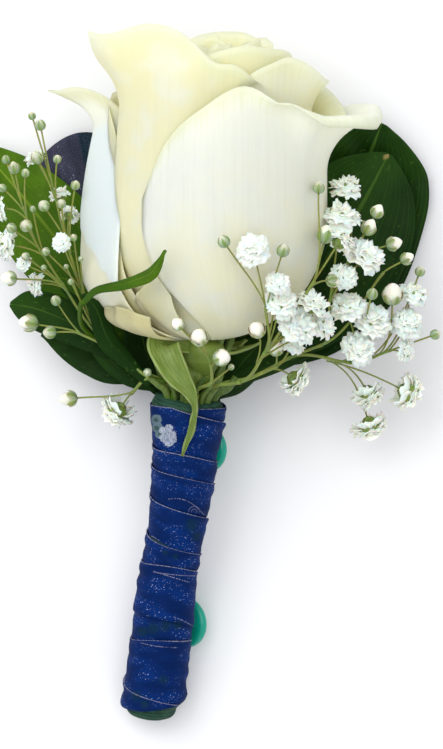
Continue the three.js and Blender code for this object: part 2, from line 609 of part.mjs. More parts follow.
// A tip on its own thin stem, turned about "facing". Its layers give height, radius, scallop depth
// and scallop phase as shares of its size: a floret has a scalloped ruff of petals under a smaller,
// crossed one, and a bud is an egg.
const TIP_SHAPES = {
  o: { sides: 6, seat: -0.7, layers: [[0.02, 1.05, 0.1, 0], [0.4, 0.78, 0.1, Math.PI]], top: 0.5 },
  b: { sides: 4, seat: -0.95, layers: [[-0.55, 0.72, 0, 0], [0.3, 0.95, 0, 0]], top: 1.2 },
};

function ringAbout(centre, axis, sides, radiusAt) {
  const side = new THREE.Vector3(0.3, 0.2, 1).cross(axis).normalize();
  const other = axis.clone().cross(side);
  return Array.from({ length: sides }, (_, i) => {
    const angle = (2 * Math.PI * i) / sides;
    return centre
      .clone()
      .addScaledVector(side, radiusAt(angle) * Math.cos(angle))
      .addScaledVector(other, radiusAt(angle) * Math.sin(angle));
  });
}

function tip(kind, start, at, facing, size, grow) {
  const { sides, seat, layers, top } = TIP_SHAPES[kind];
  const up = (share) => at.clone().addScaledVector(facing, size * share);
  const along = up(seat).sub(start).normalize();
  const thin = () => TIP_STEM_RADIUS + grow;
  const rings = [ringAbout(start, along, sides, thin), ringAbout(up(seat), facing, sides, thin)];
  for (const [height, wide, scallop, phase] of layers) {
    const radiusAt = (angle) => size * wide * (1 + scallop * Math.cos((sides / 2) * angle + phase)) + grow;
    rings.push(ringAbout(up(height), facing, sides, radiusAt));
  }
  return stack(start, rings, up(top));
}

// A stem from one place to another that leaves along one direction and arrives along another.
function stemBetween(start, leaving, end, arriving) {
  const span = start.distanceTo(end) / 3;
  return new THREE.CubicBezierCurve3(
    start,
    start.clone().addScaledVector(leaving, span),
    end.clone().addScaledVector(arriving, -span),
    end,
  );
}

function spray(spec, grow) {
  const upward = down.clone().negate();
  const joints = { root: { at: atRoot(-TAPE_RIM - ROOT_LIP, spec.root), leaving: upward, order: 0 } };
  const solids = [rootBar(spec.root, ROOT_RADIUS + grow)];
  for (const [name, joint] of Object.entries(spec.joints)) {
    const parent = joints[joint.from];
    const at = place(joint.at);
    const leaving = at.clone().sub(parent.at).normalize();
    joints[name] = { at, leaving, order: parent.order + 1 };
    const overlap = parent.at.clone().addScaledVector(parent.leaving, -0.3);
    const curve = stemBetween(overlap, parent.leaving, at, leaving);
    const thick = (t) => ROOT_RADIUS - FORK_THINNING * (parent.order + t) + grow;
    solids.push(bar(curve, thick, 3, 2));
  }
  const borne = {};
  for (const [from, kind, xyz, radius] of spec.tips) {
    const parent = joints[from];
    borne[from] = (borne[from] ?? -1) + 1;
    const start = parent.at.clone().addScaledVector(parent.leaving, -TIP_SPACING * borne[from]);
    const at = place(xyz);
    const facing = at.clone().sub(parent.at).normalize();
    facing.add(new THREE.Vector3(0, 0, kind === "o" ? 0.55 : 0.15)).normalize();
    solids.push(tip(kind, start, at, facing, radius, grow));
  }
  return fuse(solids);
}

// The loop of sheer ribbon: a band pinched at the tape, out to a rounded fold and back again.
const LOOP = {
  root: 268,
  line: [[-3.2, 6, 9.4], [-8.6, 18, 3.4], [-15.4, 32, 1.65], [-20.6, 43, 2.4], [-23.4, 50.4, 3.8]],
  halfWidths: [1.2, 4.2, 7.6, 9.0, 7.4],
  puff: [0.5, 1.2, 1.4, 1.5, 0.6],
  thickness: 0.6,
  halfRows: 7,
  columns: 4,
};

// A value from a list spread evenly over 0 to 1.
function along(values, t) {
  const spot = clamp01(t) * (values.length - 1);
  const k = Math.min(Math.floor(spot), values.length - 2);
  return mix(values[k], values[k + 1], spot - k);
}

function ribbonLoop(grow) {
  const curve = new THREE.CatmullRomCurve3(LOOP.line.map(place));
  const grid = [];
  for (let j = 0; j <= 2 * LOOP.halfRows; j++) {
    const t = 1 - Math.abs(j - LOOP.halfRows) / LOOP.halfRows;
    const layer = Math.sign(LOOP.halfRows - j);
    const row = [];
    for (let i = 0; i <= LOOP.columns; i++) {
      const u = -1 + (2 * i) / LOOP.columns;
      const share = t * (1 - 0.12 * u * u);
      const tangent = curve.getTangent(share);
      const side = tangent.clone().cross(new THREE.Vector3(0, 0, 1)).normalize();
      const normal = side.clone().cross(tangent);
      row.push(
        curve
          .getPoint(share)
          .addScaledVector(side, u * along(LOOP.halfWidths, share))
          .addScaledVector(normal, layer * along(LOOP.puff, share)),
      );
    }
    grid.push(row);
  }
  const start = curve.getPoint(0);
  const tab = new THREE.CatmullRomCurve3([...outOfTape(LOOP.root), start, curve.getPoint(0.06)]);
  return fuse([
    blade(grid, LOOP.thickness + 2 * grow),
    bar(tab, (t) => mix(ROOT_RADIUS, 1.1, t) + grow, 6, 5),
    rootBar(LOOP.root, ROOT_RADIUS + grow),
  ]);
}

// The wound ribbon's radius along the handle, under the steps of its turns, and its free edges:
// how far down each crosses the front, and how high it steps (below nought it steps inwards).
const WRAP_RADII = [[0, 7.3], [11, 6.1], [27, 5.35], [40, 5.7], [60, 6.0]];
const WRAP_RISE = 0.12;
const WRAP_EDGES = [
  [-7, 0.45], [0, 0.45], [8, 0.45], [12.4, 0.5], [19.5, 0.5], [27.2, 0.45], [33, 0.4], [40, -0.5],
  [45.5, 0.45], [58, 0.4], [66, 0.4], [74, 0.4],
];

function wrapRadius(distance) {
  const within = Math.min(distance, WRAP_LENGTH);
  const k = Math.max(1, WRAP_RADII.findIndex(([d]) => d >= within));
  const [[d0, r0], [d1, r1]] = [WRAP_RADII[k - 1], WRAP_RADII[k]];
  return mix(r0, r1, smooth((distance - d0) / (d1 - d0)));
}

// The ribbon as wound. Its free edge climbs round the handle: two points for each side of a turn,
// the upper one at the end of the turn before and the lower one on the turn that lies over it.
function woundRibbon() {
  const turns = WRAP_EDGES.length - 1;
  const points = [];
  for (let n = 0; n <= turns * WRAP_SIDES; n++) {
    const turn = Math.min(Math.floor(n / WRAP_SIDES), turns - 1);
    const share = n / WRAP_SIDES - turn;
    const [[d0, s0], [d1, s1]] = [WRAP_EDGES[turn], WRAP_EDGES[turn + 1]];
    const edge = mix(d0, d1, share);
    const step = edge > 0 && edge < WRAP_LENGTH ? mix(s0, s1, share) : 0;
    const angle = Math.PI / 2 - (2 * Math.PI * (n % WRAP_SIDES)) / WRAP_SIDES;
    const upper = THREE.MathUtils.clamp(edge, 0, WRAP_LENGTH);
    const lower = Math.min(WRAP_LENGTH, upper + (step ? WRAP_RISE : 0));
    points.push(onHandle(upper, wrapRadius(upper) + Math.max(0, -step), angle));
    points.push(onHandle(lower, wrapRadius(lower) + Math.max(0, step), angle));
  }
  const last = points.length / 2 - 1;
  const upper = (n) => 2 * n;
  const lower = (n) => 2 * n + 1;
  const corners = [];
  for (let n = 0; n < last; n++) {
    corners.push(upper(n), lower(n), lower(n + 1), upper(n), lower(n + 1), upper(n + 1));
    if (n + WRAP_SIDES < last) {
      const below = n + WRAP_SIDES;
      corners.push(lower(n), upper(below), upper(below + 1));
      corners.push(lower(n), upper(below + 1), lower(n + 1));
    }
  }
  const top = points.length;
  points.push(onHandle(0, 0, 0), onHandle(WRAP_LENGTH, 0, 0));
  for (let n = 0; n < WRAP_SIDES; n++) {
    corners.push(top, upper(n), upper(n + 1));
    const end = last - WRAP_SIDES + n;
    corners.push(top + 1, lower(end + 1), lower(end));
  }
  return solidOf(points, corners).subtract(tapeBody(CLEARANCE));
}

// The bound stems and their tape as one round body.
function tapeBody(grow) {
  const wall = WRAP_WALL + CLEARANCE;
  const stops = [-TAPE_RIM, 0, ...WRAP_RADII.slice(1, -1).map(([distance]) => distance)];
  const profile = stops.map((distance) => [distance, wrapRadius(Math.max(0, distance)) - wall]);
  const end = wrapRadius(WRAP_LENGTH) - wall;
  const round = HANDLE_LENGTH - TAPE_ROUND;
  for (const share of [0, 0.6, 0.95]) {
    const sink = TAPE_ROUND * share;
    profile.push([round + sink, end - TAPE_ROUND + Math.sqrt(TAPE_ROUND ** 2 - sink ** 2)]);
  }
  const angles = Array.from({ length: WRAP_SIDES }, (_, i) => (2 * Math.PI * i) / WRAP_SIDES);
  const rings = profile.map(([distance, radius]) =>
    angles.map((angle) => onHandle(distance, radius + grow, angle)),
  );
  return stack(onHandle(-TAPE_RIM, 0, 0), rings, onHandle(HANDLE_LENGTH, 0, 0));
}

// The two flat-headed pins: where each lies along the handle, and its angle round the handle.
const PINS = {
  upper: { distance: 10.2, angle: -66 },
  lower: { distance: 44.9, angle: -56 },
};
const PIN_HEAD_PROFILE = [[0, 0.78], [0.3, 0.98], [0.62, 1], [1, 0.74]];
const PIN_STANDOFF = 0.5;
const PIN_SEAT = 0.6;
const PIN_POINT = 1;
const PIN_POINT_RADIUS = 0.1;

// A round solid on a pin's axis, from rings of radius at a distance out from the handle's middle.
function onPin(pin, rings, sides) {
  const axis = onHandle(0, 1, radians(pin.angle)).sub(NECK);
  const middle = onHandle(pin.distance, 0, 0);
  const other = down.clone().cross(axis);
  const at = (out) => middle.clone().addScaledVector(axis, out);
  const stacked = rings.map(([out, radius]) =>
    Array.from({ length: sides }, (_, i) => {
      const angle = (-2 * Math.PI * i) / sides;
      return at(out)
        .addScaledVector(down, radius * Math.cos(angle))
        .addScaledVector(other, radius * Math.sin(angle));
    }),
  );
  return stack(at(rings[0][0]), stacked, at(rings[rings.length - 1][0]));
}

function pinParts(pin) {
  const under = wrapRadius(pin.distance) + PIN_STANDOFF + CLEARANCE;
  const profile = PIN_HEAD_PROFILE.map(([share, radius]) => [
    under + share * PIN_HEAD_THICKNESS,
    radius * PIN_HEAD_RADIUS,
  ]);
  const head = onPin(pin, profile, PIN_SIDES);
  const outer = under + PIN_SEAT * PIN_HEAD_THICKNESS;
  const point = outer - PIN_SHANK_LENGTH;
  const shank = (grow) => {
    const rings = [
      [point - grow, PIN_POINT_RADIUS],
      [point + PIN_POINT, PIN_SHANK_RADIUS + grow],
      [outer + grow, PIN_SHANK_RADIUS + grow],
    ];
    return onPin(pin, rings, PIN_SIDES / 2);
  };
  return { head: head.subtract(shank(CLEARANCE)), shank: shank(0), hole: shank(CLEARANCE) };
}

// Materials, as seen in the photograph.
const MATERIALS = {
  petal: { color: 0xf3f0da, roughness: 0.55 },
  calyx: { color: 0x7f9c3a, roughness: 0.5 },
  leaf: { color: 0x1f4a22, roughness: 0.35 },
  leafBright: { color: 0x5f8c2c, roughness: 0.45 },
  spray: { color: 0xe6ead8, roughness: 0.7 },
  sheer: { color: 0x2b3560, roughness: 0.5 },
  ribbon: { color: 0x14256b, roughness: 0.5 },
  tape: { color: 0x1f3d2a, roughness: 0.75 },
  pinHead: { color: 0x12a17a, roughness: 0.3 },
  pinShank: { color: 0xb8bcc0, roughness: 0.3, metalness: 1 },
};

function meshOf(name, solid, material) {
  const raw = solid.getMesh();
  const geometry = new THREE.BufferGeometry();
  geometry.setAttribute("position", new THREE.Float32BufferAttribute(raw.vertProperties, 3));
  geometry.setIndex([...raw.triVerts]);
  geometry.computeVertexNormals();
  const mesh = new THREE.Mesh(geometry, new THREE.MeshStandardMaterial(MATERIALS[material]));
  mesh.name = name;
  return mesh;
}

// The table, as a solid that trims the low points to the small flats the object rests on.
function below() {
  const box = new THREE.BoxGeometry(TABLE_SPAN, TABLE_SPAN, TABLE_DEPTH);
  box.translate(0, 0, -TABLE_DEPTH / 2);
  box.deleteAttribute("normal");
  box.deleteAttribute("uv");
  return solidIn(box);
}

const builders = [
  ["rose_bloom", "petal", (grow) => bloom(grow)],
  ["rose_hip_sepals_stem", "calyx", (grow) => hipAndStem(grow)],
  ["leaf_right_back", "leaf", (grow) => leaf(LEAVES.leaf_right_back, grow)],
  ["leaf_right_front", "leaf", (grow) => leaf(LEAVES.leaf_right_front, grow)],
  ["leaf_left_upper", "leafBright", (grow) => leaf(LEAVES.leaf_left_upper, grow)],
  ["leaf_left_middle", "leaf", (grow) => leaf(LEAVES.leaf_left_middle, grow)],
  ["leaf_left_lower", "leaf", (grow) => leaf(LEAVES.leaf_left_lower, grow)],
  ["leaf_narrow_curling", "leafBright", (grow) => leaf(LEAVES.leaf_narrow_curling, grow)],
  ["ribbon_loop", "sheer", (grow) => ribbonLoop(grow)],
  ...Object.keys(SPRAYS).map((name) => [name, "spray", (grow) => spray(SPRAYS[name], grow)]),
];

// Every piece of the bunch keeps clear of those before it.
const pieces = [];
const floor = below();
for (const [name, material, build] of builders) {
  let solid = build(0).subtract(floor);
  for (const earlier of pieces) {
    const near = solid.minGap(earlier.solid, CLEARANCE) < CLEARANCE;
    if (near) solid = solid.subtract(earlier.build(CLEARANCE));
  }
  pieces.push({ name, material, build, solid: largest(solid) });
}

const roots = [...Object.values(LEAVES), ...Object.values(SPRAYS), LOOP].map(({ root }) => root);
const pins = Object.entries(PINS).map(([name, pin]) => ({ name, ...pinParts(pin) }));
const stemHoleTop = onHandle(-TAPE_RIM - ROOT_RISE, 0, 0);
const stemHoleFoot = onHandle(ROSE_STEM_DEPTH + CLEARANCE, 0, 0);
const stemHoleLine = new THREE.LineCurve3(stemHoleTop, stemHoleFoot);
const stemHole = bar(stemHoleLine, () => ROSE_STEM_RADIUS + CLEARANCE, HIP_SIDES, 1);
let tape = tapeBody(0).subtract(stemHole);
for (const root of roots) tape = tape.subtract(rootBar(root, ROOT_RADIUS + CLEARANCE));
let ribbon = woundRibbon().subtract(floor);
for (const { hole } of pins) {
  tape = tape.subtract(hole);
  ribbon = ribbon.subtract(hole);
}
pieces.push({ name: "floral_tape", material: "tape", solid: largest(tape) });
pieces.push({ name: "ribbon_wound", material: "ribbon", solid: largest(ribbon) });
for (const { name, head, shank } of pins) {
  pieces.push({ name: `pin_head_${name}`, material: "pinHead", solid: largest(head) });
  pieces.push({ name: `pin_shank_${name}`, material: "pinShank", solid: shank });
}

const boutonniere = new THREE.Group();
boutonniere.name = "boutonniere";
for (const { name, material, solid } of pieces) boutonniere.add(meshOf(name, solid, material));
const bounds = new THREE.Box3().setFromObject(boutonniere);
const centre = bounds.getCenter(new THREE.Vector3());
boutonniere.position.set(-centre.x, -centre.y, -bounds.min.z);

export default boutonniere;
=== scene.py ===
"""A white rose boutonniere lying on its back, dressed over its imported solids.

The bloom, its sepals, the leaves, baby's breath, ribbons, tape and pins are each modelled again in
finer meshes from the same dimensions as the solids. Places are in millimetres from the neck, where
the stems meet the tape, and go to the frame's metres as the meshes are made.
"""

import math

import bpy
import numpy as np
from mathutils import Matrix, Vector


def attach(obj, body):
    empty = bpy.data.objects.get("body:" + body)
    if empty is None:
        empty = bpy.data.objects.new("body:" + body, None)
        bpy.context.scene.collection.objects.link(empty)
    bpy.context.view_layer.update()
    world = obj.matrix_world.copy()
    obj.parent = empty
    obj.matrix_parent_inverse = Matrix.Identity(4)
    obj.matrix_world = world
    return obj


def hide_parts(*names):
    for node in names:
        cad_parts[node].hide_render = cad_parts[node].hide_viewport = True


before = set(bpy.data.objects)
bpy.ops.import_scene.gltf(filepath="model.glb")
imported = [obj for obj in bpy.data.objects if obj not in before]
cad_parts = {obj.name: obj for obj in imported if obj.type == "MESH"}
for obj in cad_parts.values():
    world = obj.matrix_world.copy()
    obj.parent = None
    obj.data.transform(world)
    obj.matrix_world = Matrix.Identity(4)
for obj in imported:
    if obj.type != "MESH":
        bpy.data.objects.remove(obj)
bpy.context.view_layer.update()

MM = 0.001
# What moves every place so that the middle of the part's box, as packed, lies at 0, 0.
SHIFT = np.array([-2.970, -4.758, 0.0])
TURN = 2 * math.pi
WAVE_PEAK = 1.6
# A direction that no stem follows, from which the sideways ones are taken.
ASKEW = np.array([0.3, 0.2, 1.0])


# Small maths


def vec(*xyz):
    return np.array(xyz, float)


def unit(v):
    v = np.asarray(v, float)
    return v / np.maximum(np.linalg.norm(v, axis=-1, keepdims=True), 1e-12)


def mix(a, b, x):
    return a + (b - a) * x


def smooth(x):
    x = np.clip(x, 0, 1)
    return x * x * (3 - 2 * x)


def across(values, u):
    """A value that goes smoothly through a list spread evenly from u = -1 to u = 1."""
    values = np.asarray(values, float)
    spot = (np.clip(u, -1, 1) + 1) / 2 * (len(values) - 1)
    k = np.minimum(np.floor(spot).astype(int), len(values) - 2)
    return mix(values[k], values[k + 1], smooth(spot - k))


def along(values, t):
    """A value from a list spread evenly over 0 to 1."""
    return np.interp(t, np.linspace(0, 1, len(values)), values)


def waves(seed, *coordinates, count=6, spread=1.0):
    """A smooth irregular wave over the given coordinates, about -1 to 1."""
    rng = np.random.default_rng(seed)
    total = 0
    for _ in range(count):
        phase = rng.uniform(0, TURN)
        for c in coordinates:
            phase = phase + c * rng.normal(0, spread)
        total = total + np.sin(phase)
    return total / math.sqrt(count) / WAVE_PEAK


def through(points, t):
    """Points of a smooth curve through the given ones, at shares t of the way, evenly by point."""
    points = np.asarray(points, float)
    first = 2 * points[0] - points[1]
    last = 2 * points[-1] - points[-2]
    p = np.vstack([first, points, last])
    spot = np.clip(np.asarray(t, float), 0, 1) * (len(points) - 1)
    k = np.minimum(np.floor(spot).astype(int), len(points) - 2)
    x = (spot - k)[..., None]
    a, b, c, d = p[k], p[k + 1], p[k + 2], p[k + 3]
    bent = (2 * a - 5 * b + 4 * c - d) * x**2
    wound = (3 * b - a - 3 * c + d) * x**3
    return 0.5 * (2 * b + (c - a) * x + bent + wound)


def turned(v, axis, angle):
    """Vectors turned about an axis."""
    axis = unit(axis)
    angle = np.asarray(angle)[..., None]
    dot = (v * axis).sum(-1, keepdims=True)
    return v * np.cos(angle) + np.cross(axis, v) * np.sin(angle) + axis * dot * (1 - np.cos(angle))


def moved(origin, *moves):
    """Points reached from an origin by moves, each a grid of distances and the way they go."""
    for distance, way in moves:
        origin = origin + np.asarray(distance, float)[..., None] * way
    return origin


def raised(grid, normal, height):
    """A grid of points lifted off itself by a grid of heights, with one normal to each of its rows."""
    return grid + normal[:, None] * height[..., None]


# Meshes in the making: points, faces and the numbers that the materials read at each point


class Form:
    """Points, faces and named numbers at the points, gathered from patches."""

    def __init__(self):
        self.points = []
        self.faces = []
        self.values = {}
        self.count = 0

    def add(self, points, faces, **values):
        points = np.asarray(points, float).reshape(-1, 3)
        for name in {**self.values, **values}:
            value = values.get(name, 0.0)
            row = np.broadcast_to(np.asarray(value, float).ravel(), (len(points),))
            self.values.setdefault(name, [np.zeros(self.count)]).append(row)
        self.points.append(points)
        self.faces.extend([tuple(int(i) + self.count for i in face) for face in faces])
        self.count += len(points)

    def piece(self, name, material, slot, replaces):
        """The mesh object, riding on the one body and standing for its solid."""
        points = (np.vstack(self.points) + SHIFT) * MM
        points[:, 2] = np.maximum(points[:, 2], 0)
        data = bpy.data.meshes.new(name)
        data.from_pydata(points.tolist(), [], self.faces)
        for value_name, rows in self.values.items():
            layer = data.attributes.new(value_name, "FLOAT", "POINT")
            layer.data.foreach_set("value", np.concatenate(rows).astype(np.float32))
        data.polygons.foreach_set("use_smooth", [True] * len(data.polygons))
        data.materials.append(material)
        data.update()
        obj = bpy.data.objects.new(name, data)
        bpy.context.scene.collection.objects.link(obj)
        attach(obj, "root")
        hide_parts(replaces)
        return obj


def normals_of(grid):
    """Unit normals of a grid of points."""
    wide = np.gradient(grid, axis=1)
    long = np.gradient(grid, axis=0)
    return unit(np.cross(wide, long))


def add_blade(form, grid, thickness, **values):
    """A thin closed blade either side of a grid of points. Its values are grids too, or numbers."""
    rows, columns = grid.shape[:2]
    half = np.broadcast_to(np.asarray(thickness, float), (rows, columns))[..., None] / 2
    normal = normals_of(grid)
    front = (grid + normal * half).reshape(-1, 3)
    back = (grid - normal * half).reshape(-1, 3)
    index = np.arange(rows * columns).reshape(rows, columns)
    a, b = index[:-1, :-1].ravel(), index[:-1, 1:].ravel()
    c, d = index[1:, 1:].ravel(), index[1:, :-1].ravel()
    behind = rows * columns
    faces = list(zip(a, b, c, d)) + list(zip(a + behind, d + behind, c + behind, b + behind))
    rim = np.concatenate([index[0, :-1], index[:-1, -1], index[-1, :0:-1], index[:0:-1, 0]])
    for p, q in zip(rim, np.roll(rim, -1)):
        faces.append((p, p + behind, q + behind, q))
    doubled = {}
    for name, value in values.items():
        flat = np.broadcast_to(np.asarray(value, float), (rows, columns)).ravel()
        doubled[name] = np.concatenate([flat, flat])
    form.add(np.vstack([front, back]), faces, **doubled)


def add_rings(form, rings, **values):
    """A closed skin over rings of points, with a point in the middle of each end."""
    rings = np.asarray(rings, float)
    count, sides = rings.shape[:2]
    points = np.vstack([rings.reshape(-1, 3), rings[0].mean(0), rings[-1].mean(0)])
    index = np.arange(count * sides).reshape(count, sides)
    over = np.roll(index, -1, axis=1)
    first, last = count * sides, count * sides + 1
    faces = list(zip(index[:-1].ravel(), over[:-1].ravel(), over[1:].ravel(), index[1:].ravel()))
    faces += [(first, b, a) for a, b in zip(index[0], over[0])]
    faces += [(last, a, b) for a, b in zip(index[-1], over[-1])]
    rows = {}
    for name, value in values.items():
        spread = np.broadcast_to(np.asarray(value, float), (count, sides))
        rows[name] = np.concatenate([spread.ravel(), [spread[0].mean(), spread[-1].mean()]])
    form.add(points, faces, **rows)


def add_tube(form, points, radii, sides, **values):
    """A round skin along a line of points, turned as little as the line allows."""
    points = np.asarray(points, float)
    radii = np.broadcast_to(np.asarray(radii, float), (len(points),))
    tangent = unit(np.gradient(points, axis=0))
    side = unit(np.cross(tangent[0], ASKEW))
    angle = np.arange(sides) * TURN / sides
    rings = []
    for centre, way, radius in zip(points, tangent, radii):
        side = unit(side - way * (side @ way))
        other = np.cross(way, side)
        circle = np.outer(np.cos(angle), side) + np.outer(np.sin(angle), other)
        rings.append(centre + radius * circle)
    add_rings(form, rings, **values)


def frame_about(axis):
    """Two directions square to an axis and to each other, and the axis at unit length."""
    axis = unit(axis)
    side = unit(np.cross(ASKEW, axis))
    return side, np.cross(axis, side), axis


def add_lathe(form, centre, axis, profile, sides, scallop=None, **values):
    """Rings about an axis from a profile of (height, radius), with a scallop at each ring if given."""
    side, other, axis = frame_about(axis)
    angle = np.arange(sides) * TURN / sides
    rings = []
    for number, (height, radius) in enumerate(profile):
        size = radius * (1 + (scallop(number, angle) if scallop else 0))
        ring = np.outer(np.cos(angle) * size, side) + np.outer(np.sin(angle) * size, other)
        rings.append(centre + axis * height + ring)
    add_rings(form, rings, **{name: np.asarray(v, float).reshape(-1, 1) for name, v in values.items()})


# Shader maths


def sum_by(operation, swapped=False):
    """A method that adds a Math node to a wire, which is the node's second number if swapped."""

    def method(wire, other=0.0):
        a, b = (other, wire) if swapped else (wire, other)
        return wire.paint.node("ShaderNodeMath", {"operation": operation}, {0: a, 1: b})

    return method


class Wire:
    """A shader socket that takes part in sums, which add its Math nodes."""

    def __init__(self, paint, socket):
        self.paint = paint
        self.socket = socket

    __add__ = sum_by("ADD")
    __radd__ = sum_by("ADD", swapped=True)
    __sub__ = sum_by("SUBTRACT")
    __rsub__ = sum_by("SUBTRACT", swapped=True)
    __mul__ = sum_by("MULTIPLY")
    __rmul__ = sum_by("MULTIPLY", swapped=True)
    __truediv__ = sum_by("DIVIDE")
    __pow__ = sum_by("POWER")
    __abs__ = sum_by("ABSOLUTE")
    sine = sum_by("SINE")
    fraction = sum_by("FRACT")
    at_most = sum_by("MINIMUM")
    at_least = sum_by("MAXIMUM")

    def rise(self, low, high):
        """0 below low, 1 above high, smooth between; falls instead where low is above high."""
        a, b = (low, high) if low < high else (high, low)
        settings = {"interpolation_type": "SMOOTHSTEP"}
        ends = {"Value": self, "From Min": a, "From Max": b}
        risen = self.paint.node("ShaderNodeMapRange", settings, ends)
        return risen if low < high else 1 - risen


class Paint:
    """A material in the making. Its nodes all come from node()."""

    def __init__(self, name, **same_all_over):
        self.material = bpy.data.materials.new(name)
        self.material.use_nodes = True
        self.tree = self.material.node_tree
        self.shader = self.tree.nodes["Principled BSDF"]
        for socket, value in same_all_over.items():
            self.shader.inputs[socket.replace("_", " ")].default_value = value

    def node(self, kind, settings=None, inputs=None, out=0):
        made = self.tree.nodes.new(kind)
        for name, value in (settings or {}).items():
            setattr(made, name, value)
        for key, value in (inputs or {}).items():
            self.fill(made.inputs[key], value)
        return Wire(self, made.outputs[out])

    def fill(self, socket, value):
        if isinstance(value, Wire):
            self.tree.links.new(value.socket, socket)
        elif isinstance(value, (tuple, list)) and len(value) == 3 and socket.type == "RGBA":
            socket.default_value = (*value, 1.0)
        else:
            socket.default_value = value

    def value(self, name):
        """The number called name at each point of the mesh."""
        return self.node("ShaderNodeAttribute", {"attribute_name": name}, out="Fac")

    def place(self):
        return self.node("ShaderNodeTexCoord", out="Object")

    def vector(self, x, y, z=0.0):
        return self.node("ShaderNodeCombineXYZ", inputs={0: x, 1: y, 2: z})

    def noise(self, vector, scale, detail=3.0, roughness=0.5):
        inputs = {"Vector": vector, "Scale": scale, "Detail": detail, "Roughness": roughness}
        return self.node("ShaderNodeTexNoise", inputs=inputs)

    def blend(self, share, a, b):
        """Colour a where share is 0, b where it is 1."""
        settings = {"data_type": "RGBA"}
        return self.node("ShaderNodeMix", settings, {0: share, 6: a, 7: b}, out=2)

    def coats(self, colour, *layers):
        """A colour under layers, each the share that it covers and its own colour."""
        for share, layer in layers:
            colour = self.blend(share, colour, layer)
        return colour

    def set(self, socket, value):
        self.fill(self.shader.inputs[socket], value)

    def bump(self, height, strength, distance):
        """Height is 0 to 1, and distance the millimetres that 1 stands for."""
        inputs = {"Strength": strength, "Distance": distance * MM, "Height": height}
        self.set("Normal", self.node("ShaderNodeBump", inputs=inputs))


# Driving dimensions of the solids

BLOOM_BASE = vec(2.6, 12.6, 22.8)
BLOOM_TILT = math.radians(10)
NECK = vec(-0.4, -0.4, 20.6)
CUT_END = vec(-7.4, -60.3, 4.85)
TAPE_RIM = 2.8
TAPE_ROUND = 1.7
WRAP_LENGTH = 59.6
WRAP_RADII = [[0, 7.3], [11, 6.1], [27, 5.35], [40, 5.7], [60, 6.0]]
ROSE_STEM_RADIUS = 1.9
ROOT_RING = 4.35
ROOT_RADIUS = 0.6
ROOT_DEPTH = 3.4
ROOT_LIP = 0.4
ROOT_RISE = 2
PIN_HEAD_RADIUS = 5
PIN_HEAD_THICKNESS = 2
HANDLE_SWAY = 0.7
HANDLE_SWAY_LENGTH = 34

down = CUT_END - NECK
HANDLE_LENGTH = float(np.linalg.norm(down))
down = down / HANDLE_LENGTH
handle_right = unit(np.cross(vec(0, 0, 1), down))
handle_front = np.cross(down, handle_right)
bloom_up = unit(vec(0.01, math.cos(BLOOM_TILT), math.sin(BLOOM_TILT)))
bloom_right = unit(vec(1, 0, 0) - bloom_up * bloom_up[0])
bloom_front = np.cross(bloom_right, bloom_up)


def on_handle(distance, radius, angle):
    """Points by distance down the handle, radius, and angle from its right side to the viewer."""
    sway = HANDLE_SWAY * np.sin(math.pi * np.clip(np.asarray(distance) / HANDLE_SWAY_LENGTH, 0, 1))
    aside = sway + radius * np.cos(angle)
    return moved(NECK, (distance, down), (aside, handle_right), (radius * np.sin(angle), handle_front))


def on_bloom(height, radius, angle, shift=(0.0, 0.0)):
    """Points by height up the bloom's axis, radius and angle from its right side to the viewer."""
    aside = shift[0] + radius * np.cos(angle)
    ahead = shift[1] + radius * np.sin(angle)
    return moved(BLOOM_BASE, (height, bloom_up), (aside, bloom_right), (ahead, bloom_front))


def at_root(distance, angle):
    """A point at a distance down the handle, on the ring where leaves and sprays come out of the tape."""
    return on_handle(distance, ROOT_RING, math.radians(angle))


def root_line(angle):
    """Points from inside the tape up out of its mouth, at a leaf's or ribbon's root."""
    distances = (ROOT_DEPTH, -TAPE_RIM - ROOT_LIP, -TAPE_RIM - ROOT_RISE)
    return [at_root(distance, angle) for distance in distances]


def wrap_radius(distance):
    """The radius of the wound ribbon under the steps of its turns."""
    spots = np.array(WRAP_RADII, float)
    d = np.clip(distance, 0, WRAP_LENGTH)
    k = np.clip(np.searchsorted(spots[:, 0], d), 1, len(spots) - 1)
    share = smooth((d - spots[k - 1, 0]) / (spots[k, 0] - spots[k - 1, 0]))
    return mix(spots[k - 1, 1], spots[k, 1], share)


# The bloom

CUP_SHARE = 0.43
WIDE_BY = 0.45
ROOT_WIDTH = 0.78


def rolled_petal(at, half, radius, height, **unlike):
    """A petal's measures, given where they are unlike a plain rolled petal's.

    The angle of its middle and half of its width are in degrees, its radius and height in millimetres.
    Lists go from its left edge to its right: the share of its height that it reaches, the share where it
    starts to bend, how fast it bends, the most that it bends, how far its lip turns over and how far it
    is pressed outwards. Depth is 0 for an outer petal and 1 for one in the heart of the bloom.
    Foot is its width at the root and wide_by the share of it where it has its full width. Swell is the
    height of its cup's belly, taper draws its radius in towards the rim, narrow draws its sides in, and
    round takes off its two upper corners. Crimp waves it, belly bulges its left half, and aged
    gives it a beige painted shade.
    """
    plain = dict(
        taper=0.05, reach=[0.97, 1, 0.97], start=[0.9, 0.9, 0.9], bend=[0, 1, 0], most=[1, 1, 1],
        lip=[0, 0, 0], press=[0, 0, 0], shift=[0, 0], round=[0.12, 0.12], depth=0.0,
        foot=ROOT_WIDTH, wide_by=WIDE_BY, swell=CUP_SHARE, narrow=0, crimp=0, belly=0, aged=0, folded=False)
    return {**plain, "at": at, "half": half, "radius": radius, "height": height, **unlike}


